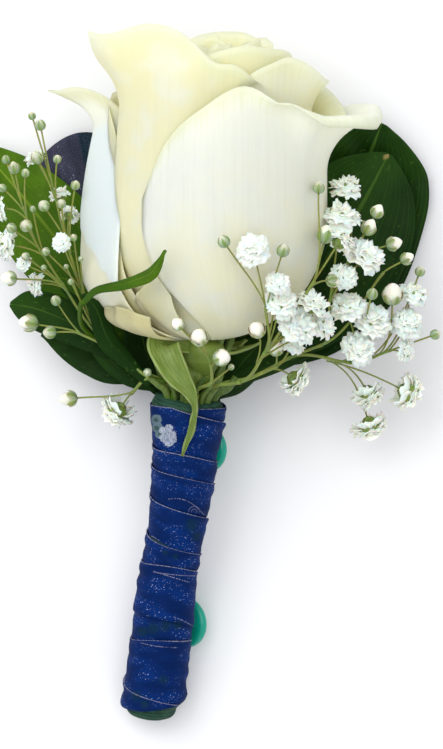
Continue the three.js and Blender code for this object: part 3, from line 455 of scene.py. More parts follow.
PETALS = {
    "front right": rolled_petal(
        52, 78, 21.2, 52, foot=0.3, wide_by=0.52,
        reach=[0.98, 0.98, 0.98, 0.98, 0.955, 0.92, 0.985, 1, 0.91],
        start=[0.93, 0.93, 0.93, 0.9, 0.86, 0.67, 0.64, 0.655, 0.69],
        bend=[0, 0, 0, 0, 3, 3.2, 5, 5, 4], most=[0, 0, 0, 0, 0.4, 0.7, 1, 1, 0.9],
        lip=[0, 0, 0, 0, 1.6, 2.6, 3.1, 3.1, 2.9], press=[-2.8, -1.4, 0, 0.3, 0.4, 0.6, 1.6, 1.8, 1.6],
        round=[0.39, 0.02]),
    "left": rolled_petal(
        188, 40, 23, 47, taper=0.22, folded=True, foot=1.7, wide_by=0.5, swell=0.27, narrow=0.66,
        reach=[0.93, 1.05, 0.96], start=[0.86, 0.855, 0.9], bend=[4, 12, 5], most=[0.5, 1.4, 0.5],
        lip=[0, 0.3, 0], press=[-0.5, 0.4, -4.4], round=[0.12, 0.06]),
    "back left": rolled_petal(
        248, 56, 20.8, 47, reach=[0.92, 1.02, 0.95], start=[0.85, 0.8, 0.85], bend=[1, 3, 1],
        lip=[0, 0.4, 0], press=[-1.6, 0, 0.6], round=[0.22, 0.22], depth=0.1),
    "back right": rolled_petal(
        318, 58, 20.8, 52, reach=[0.9, 0.95, 0.92], start=[0.72, 0.82, 0.85], bend=[12, 5, 3],
        most=[1.15, 1, 1], lip=[0, 0.3, 0.6], press=[0.5, 0, -1.8], round=[0.04, 0.2], depth=0.3),
    "tall front left": rolled_petal(
        118, 78, 16.4, 62, taper=0.02, belly=1.3, reach=[0.94, 0.985, 0.993, 0.893, 0.83],
        start=[0.725, 0.74, 0.86, 0.9, 0.93], bend=[6.5, 5, 2, 1, 0], most=[0.76, 0.6, 0.2, 0.1, 0],
        lip=[-0.8, -0.2, 0.2, 0.3, 0.3], press=[-0.5, 0.5, 0.5, -0.8, -1.6], shift=[0.6, 1.6],
        round=[0.03, 0.03], depth=0.4),
    "left inner": rolled_petal(
        200, 47, 19.6, 45, aged=0.5, foot=1.9, wide_by=0.62, swell=0.32, reach=[0.95, 1, 0.98],
        bend=[0, 1.5, 1], press=[-0.6, -0.4, -1.6], round=[0.2, 0.2], depth=0.3),
    "right inner": rolled_petal(
        10, 66, 18.7, 53, reach=[1.05, 1.05, 0.96, 0.935, 0.88], start=[0.9, 0.85, 0.77, 0.77, 0.85],
        bend=[0, 1, 4, 4, 2], most=[0.3, 0.4, 0.8, 0.8, 0.6], lip=[0, 0.1, 0.3, 0.3, 0.2],
        press=[-1.4, -0.6, 0, 0.2, 0.4], shift=[0.6, 0], round=[0.12, 0.2], depth=0.3),
    "back inner": rolled_petal(
        290, 62, 17.4, 53, taper=0.08, reach=[0.95, 1, 0.93], start=[0.9, 0.86, 0.9], bend=[0, 2, 0],
        press=[0.4, 0, -1], round=[0.2, 0.2], depth=0.3),
    "third right": rolled_petal(
        42, 78, 14.8, 57, taper=0.04, reach=[1, 1.01, 1, 0.96, 0.9], start=[0.88, 0.88, 0.88, 0.86, 0.84],
        bend=[0, 0.5, 1, 1.5, 2], lip=[0, 0, 0, 0.2, 0.3], press=[-1.2, -0.6, 0, 0.3, 0.6],
        shift=[0.8, 0.4], round=[0.1, 0.16], depth=0.5),
    "third left": rolled_petal(
        165, 76, 12.6, 57.5, taper=0.1, reach=[0.95, 1, 1], lip=[0.2, 0.5, 0.2], press=[-0.8, 0, 0.4],
        shift=[0, 0.2], round=[0.16, 0.1], depth=0.5),
    "third back": rolled_petal(
        285, 78, 13, 57, taper=0.1, reach=[0.95, 1, 0.96], bend=[0, 1.4, 0], lip=[0.2, 0.5, 0.3],
        press=[0.6, 0, -0.6], shift=[0.5, 0], round=[0.16, 0.16], depth=0.5),
    "heart right": rolled_petal(
        20, 100, 9.2, 57, taper=0.12, reach=[0.97, 1, 0.95], bend=[0, 1.5, 0], press=[-0.9, 0, 0.9],
        shift=[1.4, 0.6], depth=0.8),
    "heart left": rolled_petal(
        150, 96, 7.4, 57.5, taper=0.12, press=[-0.8, 0, 0.8], shift=[1, 0.8], depth=0.8),
    "heart back": rolled_petal(
        270, 96, 6, 56.5, taper=0.12, press=[-0.7, 0, 0.7], shift=[1, 0.4], depth=0.9),
    "bud right": rolled_petal(60, 110, 4.4, 56, taper=0.2, press=[-0.7, 0, 0.7], shift=[1, 0.5], depth=1),
    "bud left": rolled_petal(210, 120, 3, 55, taper=0.3, press=[-0.6, 0, 0.6], shift=[1, 0.5], depth=1),
    "fourth back": rolled_petal(
        240, 70, 15.2, 54, taper=0.08, reach=[0.93, 1, 0.95], start=[0.86, 0.86, 0.86], bend=[2, 4, 3],
        most=[0.8, 1, 1], lip=[0.3, 0.5, 0.4], press=[0.3, 0, -0.8], shift=[0.2, 0], round=[0.2, 0.2],
        depth=0.4),
    "fourth right": rolled_petal(
        330, 80, 11.1, 56, taper=0.1, reach=[0.95, 1, 0.96], start=[0.88, 0.88, 0.88], bend=[1, 3, 1],
        lip=[0.2, 0.4, 0.2], press=[0.5, 0, -0.6], shift=[0.9, 0.2], round=[0.16, 0.2], depth=0.6),
    "fourth left": rolled_petal(
        190, 80, 10.3, 55.5, taper=0.1, reach=[0.94, 1, 0.97], start=[0.88, 0.88, 0.88], bend=[1, 3, 1],
        lip=[0.2, 0.4, 0.2], press=[-0.5, 0, 0.4], shift=[0.8, 0.3], round=[0.2, 0.16], depth=0.65),
    "fourth front": rolled_petal(
        80, 84, 8.3, 55, taper=0.12, reach=[0.94, 1, 0.96], bend=[0, 2, 1], lip=[0, 0.2, 0.1],
        press=[-0.5, 0, 0.5], shift=[1.2, 0.6], round=[0.16, 0.16], depth=0.8),
    "innermost": rolled_petal(
        330, 130, 1.7, 54, taper=0.3, reach=[0.96, 1, 0.96], press=[-0.3, 0, 0.3], shift=[1, 0.5], depth=1),
    "small guard": rolled_petal(
        148, 25, 18.2, 8, taper=0, aged=1, crimp=0.35, swell=0.62, reach=[0.75, 0.85, 0.8],
        start=[0.6, 0.7, 0.7], bend=[3, 2, 2], most=[0.8, 0.6, 0.6], lip=[0.4, 0.4, 0.4],
        press=[0.6, 0.5, 0.3], round=[0.15, 0.15], depth=0.9),
    "guard flap": rolled_petal(
        124, 17, 15.8, 14, taper=0, aged=0.35, swell=0.72, reach=[0.5, 0.94, 0.4], start=[0.5, 0.6, 0.4],
        bend=[2, 1, 2], most=[0.5, 0.3, 0.4], lip=[0.6, 0.2, 0.2], press=[0.9, 0.5, 0.6],
        round=[0.1, 0.1], depth=0.4),
}
PETAL_ROUNDING = 2.5
PETAL_ROOT_RADIUS = 2.6
OPEN_BY = 0.5
NARROW_FROM = 0.62
BELLY_END = 0.75
CRIMP_PITCH = 9
LIP_SHARE = 0.07
PETAL_ROWS = 46
PETAL_SUBSTEPS = 8
PETAL_COLUMNS = 44
PETAL_BODY = 0.55
PETAL_RIM = 0.16
THIN_SHARE_UP = 0.05
THIN_SHARE_ACROSS = 0.06
PETAL_RIPPLE = 0.55
RIM_RIPPLE = 0.012
FOLD_FOOT = 0.42
FOLD_HEAD = 0.89
FOLD_SLOPE = 0.21
FOLD_HEAD_SLOPE = 0.055
FOLD_RELIEF = 0.45
# Painted beige shade on the underside of the folded petal's tip.
FOLD_TIP_SHADE = 0.5
VEIN_SEED_STEP = 7.3


def cup(petal, t):
    """The petal's cup before its rim bends: radius and height at a share t of the petal."""
    swell = petal["height"] * petal["swell"]
    turn = math.pi / 2 * np.clip(t / OPEN_BY, 0, 1)
    low_radius = PETAL_ROOT_RADIUS + (petal["radius"] - PETAL_ROOT_RADIUS) * np.sin(turn)
    low_height = swell * (1 - np.cos(turn))
    x = (t - OPEN_BY) / (1 - OPEN_BY)
    high_radius = petal["radius"] * (1 - petal["taper"] * x * x)
    return (
        np.where(t <= OPEN_BY, low_radius, high_radius),
        np.where(t <= OPEN_BY, low_height, mix(swell, petal["height"], x)),
    )


def petal_grid(petal, seed):
    """A petal's grid of points, its shares t up the petal and u from its left edge to its right."""
    u = np.linspace(-1, 1, PETAL_COLUMNS + 1)
    corner = np.where(u < 0, petal["round"][0], petal["round"][1]) * np.abs(u) ** PETAL_ROUNDING
    reach = across(petal["reach"], u) * (1 - corner)
    reach = reach + RIM_RIPPLE * waves(seed + 50, u, count=7, spread=7.0)
    t = np.linspace(0, 1, PETAL_ROWS * PETAL_SUBSTEPS + 1)[:, None] * reach
    r, h = cup(petal, t)
    beyond = np.maximum(0, t - across(petal["start"], u))
    turn = np.minimum(across(petal["most"], u), across(petal["bend"], u) * beyond)
    turn = turn + across(petal["lip"], u) * np.clip((t - (reach - LIP_SHARE)) / LIP_SHARE, 0, 1)
    dr, dh, turn = np.diff(r, axis=0), np.diff(h, axis=0), turn[1:]
    outward = dr * np.cos(turn) + dh * np.sin(turn)
    upward = dh * np.cos(turn) - dr * np.sin(turn)
    start = np.zeros_like(u)
    radius = r[0] + np.vstack([start, np.cumsum(outward, axis=0)])
    height = h[0] + np.vstack([start, np.cumsum(upward, axis=0)])
    radius, height, t = (x[::PETAL_SUBSTEPS] for x in (radius, height, t))
    opened = smooth(t / OPEN_BY)
    wide = petal["half"] * mix(petal["foot"], 1, smooth(t / petal["wide_by"]))
    wide = wide * (1 - petal["narrow"] * smooth((t - NARROW_FROM) / (1 - NARROW_FROM)))
    angle = np.radians(petal["at"] - u * wide)
    share = t / reach
    ripple = PETAL_RIPPLE * (1 - petal["depth"] * 0.5)
    out = radius + across(petal["press"], u) * opened
    out = out + ripple * share**3 * waves(seed, u, share, count=6, spread=4.0)
    out = out + 0.5 * ripple * opened * waves(seed + 20, u, share, count=5, spread=2.2)
    out = out + petal["crimp"] * opened * np.cos(CRIMP_PITCH * u)
    out = out + petal["belly"] * np.sin(math.pi * np.clip(t / BELLY_END, 0, 1)) * smooth(-2 * u)
    cool = np.zeros_like(t)
    if petal["folded"]:
        foot = FOLD_FOOT + FOLD_SLOPE * (1 - u) ** 0.8
        head = FOLD_HEAD + FOLD_HEAD_SLOPE * u
        # The folded lens: raised a little here, and given a bluish painted shade by the petal's material.
        cool = smooth((t - foot) / 0.012) * smooth((head - t) / 0.03) * smooth((u + 0.2) / 0.2)
        out = out + FOLD_RELIEF * cool
    shift = [s * opened for s in petal["shift"]]
    return on_bloom(height, out, angle, shift), share, np.broadcast_to(u, share.shape), cool


def petal_paint():
    """Ivory petal, creamier in the depths and greenish at the foot, with fine veins up its length, a bluish
    painted shade on the folded lens and a beige painted shade where aged says.
    """
    paint = Paint(
        "ivory_petal", Roughness=0.5, Specular_IOR_Level=0.3, Subsurface_Weight=0.5, Subsurface_Scale=0.005)
    paint.shader.inputs["Subsurface Radius"].default_value = (1.0, 0.9, 0.6)
    share, u, depth, cool, seed = (paint.value(name) for name in ("share", "u", "depth", "cool", "seed"))
    aged = paint.value("aged")
    fan = paint.vector(u * 34, share * 2.2, seed)
    veins = paint.noise(fan, 1.0, detail=4.0, roughness=0.6)
    mottle = paint.noise(paint.place(), 110.0, detail=3.0)
    warm = depth.rise(0.0, 0.5)
    low = (share + (mottle - 0.5) * 0.3).rise(0.9, 0.25)
    rim = (share + (veins - 0.5) * 0.12).rise(0.92, 1.0)
    ivory = paint.coats(
        (0.87, 0.88, 0.69), (warm, (0.80, 0.745, 0.39)), (low * 0.8, (0.88, 0.82, 0.45)),
        (mottle.rise(0.45, 0.7) * 0.5, (0.80, 0.82, 0.68)),
        (share.rise(0.22, 0.02) * 0.7, (0.55, 0.58, 0.22)), (rim * 0.6, (0.70, 0.76, 0.42)),
        # Painted shade: bluish over the folded lens, beige where aged says.
        (veins.rise(0.4, 0.75) * 0.16, (0.70, 0.67, 0.44)), (cool * 0.9, (0.78, 0.88, 0.80)),
        (aged * 0.85, (0.42, 0.38, 0.20)))
    paint.set("Base Color", ivory)
    paint.bump(veins * 0.6 + paint.noise(paint.place(), 900.0) * 0.4, 0.4, 0.22)
    return paint.material


def make_bloom():
    form = Form()
    for number, petal in enumerate(PETALS.values()):
        grid, share, u, cool = petal_grid(petal, 100 + 7 * number)
        edge = np.minimum(1, np.minimum((1 - share) / THIN_SHARE_UP, (1 - np.abs(u)) / THIN_SHARE_ACROSS))
        body = mix(PETAL_RIM, PETAL_BODY, smooth(edge))
        # Painted shade: each petal's own share, and more under the folded petal's tip.
        aged = petal["aged"] + FOLD_TIP_SHADE * petal["folded"] * smooth((share - 0.9) / 0.06)
        add_blade(
            form, grid, body, share=share, u=u, depth=petal["depth"], cool=cool, aged=aged,
            seed=VEIN_SEED_STEP * number)
    form.piece("rose_petals", petal_paint(), "petal", "rose_bloom")


# Blades along a line: sepals and leaves


def blade_along(line, widths, rows, columns, arch=0.0, lean=0.0, facing=(0, 0, 1), blunt=0.0):
    """A grid along a line of points, its shares t along it and u across it, and its normals.

    Blunt is the share of its length that a round tip takes.
    """
    t = 1 - (1 - np.linspace(0, 1, rows + 1)) ** (1.5 if blunt else 1)
    centre = through(line, t)
    way = unit(through(line, np.minimum(t + 0.01, 1)) - through(line, np.maximum(t - 0.01, 0)))
    side = unit(np.cross(way, np.asarray(facing, float)))
    side = turned(side, way, np.full(rows + 1, lean))
    normal = unit(np.cross(side, way))
    half = through(np.array(widths, float)[:, None], t)[:, 0] / 2
    tip = np.clip((t - 1 + blunt) / max(blunt, 1e-6), 0, 1)
    half = np.maximum(half * np.sqrt(np.clip(1 - tip**2, 0, 1)), 0.05)
    u = np.linspace(-1, 1, columns + 1)
    flat = centre[:, None] + side[:, None] * (u * half[:, None])[..., None]
    grid = raised(flat, normal, arch * half[:, None] * (1 - u * u))
    return grid, *np.broadcast_arrays(t[:, None], u), normal


HIP_PROFILE = [[-7.4, 1.9], [-6.2, 2.6], [-4.4, 3.8], [-2.2, 3.9], [-0.9, 3.3], [-0.6, 1.5]]
FRONT_SEPAL_LINE = [
    [1.4, 10.6, 24.2], [-3.2, 12.0, 28.4], [-5.0, 11.2, 30.4], [-4.2, 8.6, 31.2], [-2.4, 5.2, 31.0],
    [0.0, 1.8, 30.3], [0.9, -1.2, 29.4], [0.3, -5.0, 28.3], [-1.5, -10.2, 26.2],
]
FRONT_SEPAL_WIDTHS = [3, 5.4, 6.0, 5.6, 4.7, 2.5, 1.0, 1.25, 0.4]
SIDE_SEPALS = [(-28, 12), (212, 12), (262, 11), (312, 12)]
SEPAL_THICKNESS = 0.45
SIDE_SEPAL_WIDTHS = [3, 3.8, 2.6, 0.6]
HIP_RINGS = 26
HIP_SIDES = 48
STEM_RINGS = 30
BUNDLE_STEMS = 26
BUNDLE_RINGS = 18


def calyx_paint():
    """Fresh light green, paler at the edges and along the ribs, finely hairy."""
    paint = Paint(
        "calyx_green", Roughness=0.36, Specular_IOR_Level=0.25, Subsurface_Weight=0.1,
        Subsurface_Scale=0.002)
    u, share = paint.value("u"), paint.value("share")
    grain = paint.noise(paint.place(), 420.0, detail=3.0)
    streaks = paint.noise(paint.vector(u * 9, share * 3), 1.0, detail=3.0)
    green = paint.coats(
        (0.13, 0.20, 0.03), (streaks.rise(0.35, 0.7), (0.22, 0.30, 0.06)),
        (abs(u).rise(0.86, 0.98) * 0.5, (0.40, 0.50, 0.18)),
        (grain.rise(0.5, 0.8) * 0.25, (0.36, 0.45, 0.15)),
        (paint.value("tone") * 0.85, (0.03, 0.075, 0.012)))
    paint.set("Base Color", green)
    paint.bump(streaks * 0.6 + grain * 0.4, 0.5, 0.25)
    return paint.material


def make_calyx():
    form = Form()
    heights = np.array([h for h, _ in HIP_PROFILE])
    fine = np.linspace(heights[0], heights[-1], HIP_RINGS)
    radii = np.interp(fine, heights, [r for _, r in HIP_PROFILE])
    radii = np.convolve(np.pad(radii, 2, mode="edge"), np.ones(5) / 5, mode="valid")
    angle = np.arange(HIP_SIDES) * TURN / HIP_SIDES
    rib = 1 + 0.02 * np.sin(5 * angle + 0.7) + 0.008 * np.sin(13 * angle)
    rings = on_bloom(fine[:, None], radii[:, None] * rib, -angle)
    add_rings(form, rings, u=0, share=(fine / 8)[:, None])
    line = [on_bloom(height, 0.0, 0.0) for height in (-4.0, -8.0)]
    line += [on_handle(distance, 0.0, 0.0) for distance in (-TAPE_RIM - 3, -TAPE_RIM - 0.3, 8.0)]
    stem = through(line, np.linspace(0, 1, STEM_RINGS))
    add_tube(form, stem, ROSE_STEM_RADIUS, 20, u=0, share=np.linspace(0, 4, STEM_RINGS)[:, None])
    grid, t, u, normal = blade_along(FRONT_SEPAL_LINE, FRONT_SEPAL_WIDTHS, 90, 14, arch=-0.3)
    ruffle = 0.16 * np.sin(t * 46 + u * 1.3) * np.abs(u) ** 2 + 0.12 * waves(5, t * 9, u * 2)
    add_blade(form, raised(grid, normal, ruffle), SEPAL_THICKNESS, u=u, share=t * 3, tone=smooth(t) * 0.45)
    for number, (at, length) in enumerate(SIDE_SEPALS):
        shares = np.array([0.15, 0.45, 0.75, 1.0])
        line = on_bloom(-2.2 - 1.1 * np.sin(math.pi * shares), length * shares, math.radians(at))
        grid, t, u, normal = blade_along(line, SIDE_SEPAL_WIDTHS, 36, 10, arch=-0.3, facing=bloom_up)
        curl = 0.25 * waves(11 + number, t * 5, u * 2)
        add_blade(form, raised(grid, normal, curl), SEPAL_THICKNESS, u=u, share=t * 2)
    add_bundle(form)
    form.piece("calyx_and_stem", calyx_paint(), "calyx", "rose_hip_sepals_stem")


def add_bundle(form):
    """The foliage stems packed round the rose's own, from inside the tape up under the bloom."""
    rng = np.random.default_rng(77)
    rim = -TAPE_RIM + 0.4
    for number in range(BUNDLE_STEMS):
        angle = number * 2.4
        ring = 2.6 + 2.7 * math.sqrt((number + 0.5) / BUNDLE_STEMS)
        inside = on_handle(3.0, ring * 0.8, angle)
        mouth = on_handle(rim, ring, angle)
        fan = mouth - on_handle(rim, 0.0, 0.0)
        long = rng.uniform(2.5, 5) if math.sin(angle) > 0.1 else rng.uniform(8, 15)
        spread = fan * vec(1, 0.3, 0.5) * rng.uniform(0.5, 1.1)
        end = mouth - down * long + spread - vec(0, 0, rng.uniform(0, 3))
        half = mix(mouth, end, 0.5) + rng.uniform(-0.5, 0.5, 3)
        line = through([inside, mouth, half, end], np.linspace(0, 1, BUNDLE_RINGS))
        size = rng.uniform(0.45, 0.95) * np.linspace(1.0, 0.7, BUNDLE_RINGS)
        shares = np.linspace(0, 3, BUNDLE_RINGS)[:, None]
        add_tube(form, line, size, 9, u=0, share=shares, tone=rng.uniform(0.55, 1))


# The leaves


def leaf(root, stalk, line, widths, **unlike):
    """A leaf's measures, given where they are unlike a plain dark leaf's.

    Its root is an angle round the mouth of the tape. Its stalk runs through the stalk's points to the
    first point of its line, and its widths are spread evenly along that line.
    """
    plain = dict(
        finish="leaf", teeth=0.01, cupping=0.3, arch=0.12, lean=0.0, veins=6, blunt=0.0, scar=0.0, small=[])
    return {**plain, "root": root, "stalk": stalk, "line": line, "widths": widths, **unlike}


LEAVES = {
    "leaf_right_back": leaf(
        292, [[3, 5, 12.5]],
        [[5.5, 9, 7.5], [13, 17, 3.0], [23, 29, 1.2], [32, 42, 2.8], [36.8, 53.4, 5.8]],
        [3, 28, 37.5, 30.5, 15], teeth=0.012, cupping=0.8, blunt=0.14, arch=-0.05, veins=9),
    "leaf_right_front": leaf(
        322, [[5.5, 5, 14]],
        [[9.5, 9, 11.4], [17, 16, 8.6], [25.5, 26, 7.2], [32.5, 37, 7.4], [38, 47.4, 8.6]],
        [3, 19, 27, 24, 9], teeth=0.004, cupping=0.4, blunt=0.12, arch=0.1, veins=3, scar=1.0),
    "leaf_left_upper": leaf(
        240, [[-3.8, 5.4, 12.6]],
        [[-8, 10, 9.6], [-17, 20, 6.4], [-26, 31.5, 5.4], [-34, 41.5, 5.2], [-41, 49.5, 6]],
        [3, 13, 18, 13, 2], finish="leaf_bright", teeth=0.012, cupping=0.5, arch=0.08, veins=9),
    "leaf_left_middle": leaf(
        196, [[-7.6, 4.6, 19.4]],
        [[-13, 8, 18.2], [-18, 12, 17.4], [-24, 15.4, 16.4], [-29.5, 17.6, 16], [-34.2, 18.6, 16.4]],
        [1.6, 6, 8, 7.6, 4], blunt=0.16, lean=0.25),
    "leaf_left_lower": leaf(
        219, [[-6.2, 4.4, 15.4]],
        [[-9.6, 4.4, 14.2], [-14, 6.6, 12.8], [-19, 9.4, 11.6], [-24, 11.8, 11], [-28.4, 13.2, 11]],
        [2, 7.4, 8.6, 6.4, 1.2], lean=0.15,
        small=[
            ([[-7.6, 3.2, 23], [-12.5, 8.3, 24], [-15.7, 11.9, 25], [-17.8, 17.4, 27], [-20.4, 20.4, 28]],
             [1.2, 3.2, 4, 3, 0.4]),
            ([[-6.6, 2.4, 20], [-11.5, 4.6, 18], [-16, 8.4, 17], [-20.4, 12.4, 17.5]], [1, 3.4, 3.6, 0.4]),
            ([[-7.4, 2.6, 21], [-13, 9.4, 21], [-19, 16.4, 21], [-24.4, 21.6, 21.5]], [0.8, 2.0, 2.8, 0.4]),
            ([[5.8, 2.0, 21], [10.5, 5.0, 19], [17, 7.6, 17], [23, 9, 16]], [0.8, 3.0, 3.4, 0.5]),
            ([[-4.6, 1.4, 15], [-7.6, 6.4, 13], [-9.4, 12, 12], [-11, 17, 12]], [3.0, 7.0, 7.0, 1.5]),
            ([[4.6, 1.6, 15], [7.4, 4.6, 12.5], [10.4, 8.4, 11], [14, 12, 11]], [3.0, 7.4, 8.0, 2.0]),
            ([[-1.0, 1.0, 14], [0.0, 6, 12], [1, 11, 11]], [7.0, 9.0, 6.0]),
        ]),
    "leaf_narrow_curling": leaf(
        132, [[-7.6, 4.6, 21.5], [-14.0, 9.0, 19.5], [-20.2, 14.0, 23]],
        [[-20.6, 18.2, 31], [-17.4, 21, 36], [-12.4, 22.0, 40.6], [-7.0, 24.0, 45.6], [-4.4, 28.2, 49.2]],
        [1.0, 1.5, 2.2, 2.6, 0.3], finish="leaf_bright", teeth=0.0, cupping=0.2, arch=0.1, lean=-0.5,
        veins=5),
}
LEAF_THICKNESS = 0.5
LEAF_RIM = 0.2
SMALL_LEAF_THICKNESS = 0.35
LEAF_ROWS = 96
LEAF_COLUMNS = 36
NARROW_LEAF_WIDTH = 4
NARROW_LEAF_COLUMNS = 12
STALK_RINGS = 40
STALK_TIP_RADIUS = 0.4
LEAF_GLOSS = 0.36
# Each finish's material: its name, dark, light and vein colours, and whether it has the scarred tip.
LEAF_LOOKS = {
    "leaf": ("dark_leaf", (0.005, 0.024, 0.002), (0.017, 0.058, 0.005), (0.07, 0.15, 0.02), True),
    "leaf_bright": ("bright_leaf", (0.026, 0.080, 0.002), (0.085, 0.18, 0.005), (0.22, 0.32, 0.03), False),
}


def leaf_paint(name, dark, light, vein, scarred):
    """A leaf with its midrib, fine veins that run its whole length, painted shade at its base and a dry
    brown tip if scarred.
    """
    paint = Paint(name, Specular_IOR_Level=0.07)
    u, share, mark = paint.value("u"), paint.value("share"), paint.value("scar")
    side = abs(u)
    wander = paint.noise(paint.vector(u * 1.5, share * 3), 1.0, detail=2.0)
    lines = ((u * 9 + wander * 0.6).fraction() - 0.5) * 2
    strand = abs(lines).rise(0.82, 1.0)
    fine = paint.noise(paint.vector(u * 46, share * 3), 1.0, detail=3.0)
    midrib = side.rise(0.05, 0.012)
    blotch = paint.noise(paint.place(), 75.0, detail=4.0)
    dust = paint.noise(paint.place(), 1300.0, detail=1.0).rise(0.69, 0.75)
    veined = (strand * 0.2 + fine.rise(0.5, 0.8) * 0.2).at_most(1.0)
    green = paint.coats(
        dark, (blotch.rise(0.3, 0.7), light), (veined, vein), (midrib * 0.6, vein),
        # Painted shade: darker towards the leaf's base.
        (share.rise(0.8, 0.3) * 0.8, dark), (dust * 0.35, vein))
    if scarred:
        dry = (share + (fine - 0.5) * 0.02 - abs(u + 0.1) * 0.06).rise(0.965, 0.985) * mark
        green = paint.blend(dry * 0.9, green, (0.30, 0.24, 0.08))
    paint.set("Base Color", green)
    paint.set("Roughness", LEAF_GLOSS + blotch * 0.18)
    height = 0.6 - strand * 0.22 - midrib * 0.5 + fine * 0.3
    paint.bump(height + blotch * 0.2, 0.5, 0.3)
    return paint.material


def make_leaf(name, spec, material):
    columns = LEAF_COLUMNS if max(spec["widths"]) > NARROW_LEAF_WIDTH else NARROW_LEAF_COLUMNS
    grid, t, u, normal = blade_along(
        spec["line"], spec["widths"], LEAF_ROWS, columns, arch=spec["arch"], lean=spec["lean"],
        blunt=spec["blunt"])
    centre = grid[:, columns // 2][:, None]
    seed = len(name)
    pitch = 1 + spec["teeth"] * waves(seed + 3, t * 20, count=4) * np.abs(u) ** 6
    grid = centre + (grid - centre) * pitch[..., None]
    furrows = 0.16 * np.sin(t * spec["veins"] * TURN - np.abs(u) * 7)
    swell = spec["cupping"] * (0.5 * waves(seed, t * 5, u * 1.6, count=5) + furrows)
    edge = smooth(np.minimum(1, (1 - np.abs(u)) / 0.1))
    form = Form()
    thickness = mix(LEAF_RIM, LEAF_THICKNESS, edge)
    add_blade(form, raised(grid, normal, swell), thickness, u=u, share=t, scar=spec["scar"])
    base, onward = np.array(spec["line"][:2], float)
    line = [*root_line(spec["root"]), *spec["stalk"], base, mix(base, onward, 0.3)]
    stalk = through(line, np.linspace(0, 1, STALK_RINGS))
    radii = np.linspace(ROOT_RADIUS, STALK_TIP_RADIUS, STALK_RINGS)
    add_tube(form, stalk, radii, 10, u=0, share=0)
    for line, widths in spec["small"]:
        grid, t, u, normal = blade_along(line, widths, 50, 10, arch=0.25, lean=0.2)
        swell = 0.2 * waves(3, t * 5, u * 2)
        add_blade(form, raised(grid, normal, swell), SMALL_LEAF_THICKNESS, u=u, share=t)
    form.piece(name.replace("leaf", "foliage"), material, spec["finish"], name)


def make_leaves():
    materials = {finish: leaf_paint(*look) for finish, look in LEAF_LOOKS.items()}
    for name, spec in LEAVES.items():
        make_leaf(name, spec, materials[spec["finish"]])


# Baby's breath

OPEN, BUD = "open", "bud"
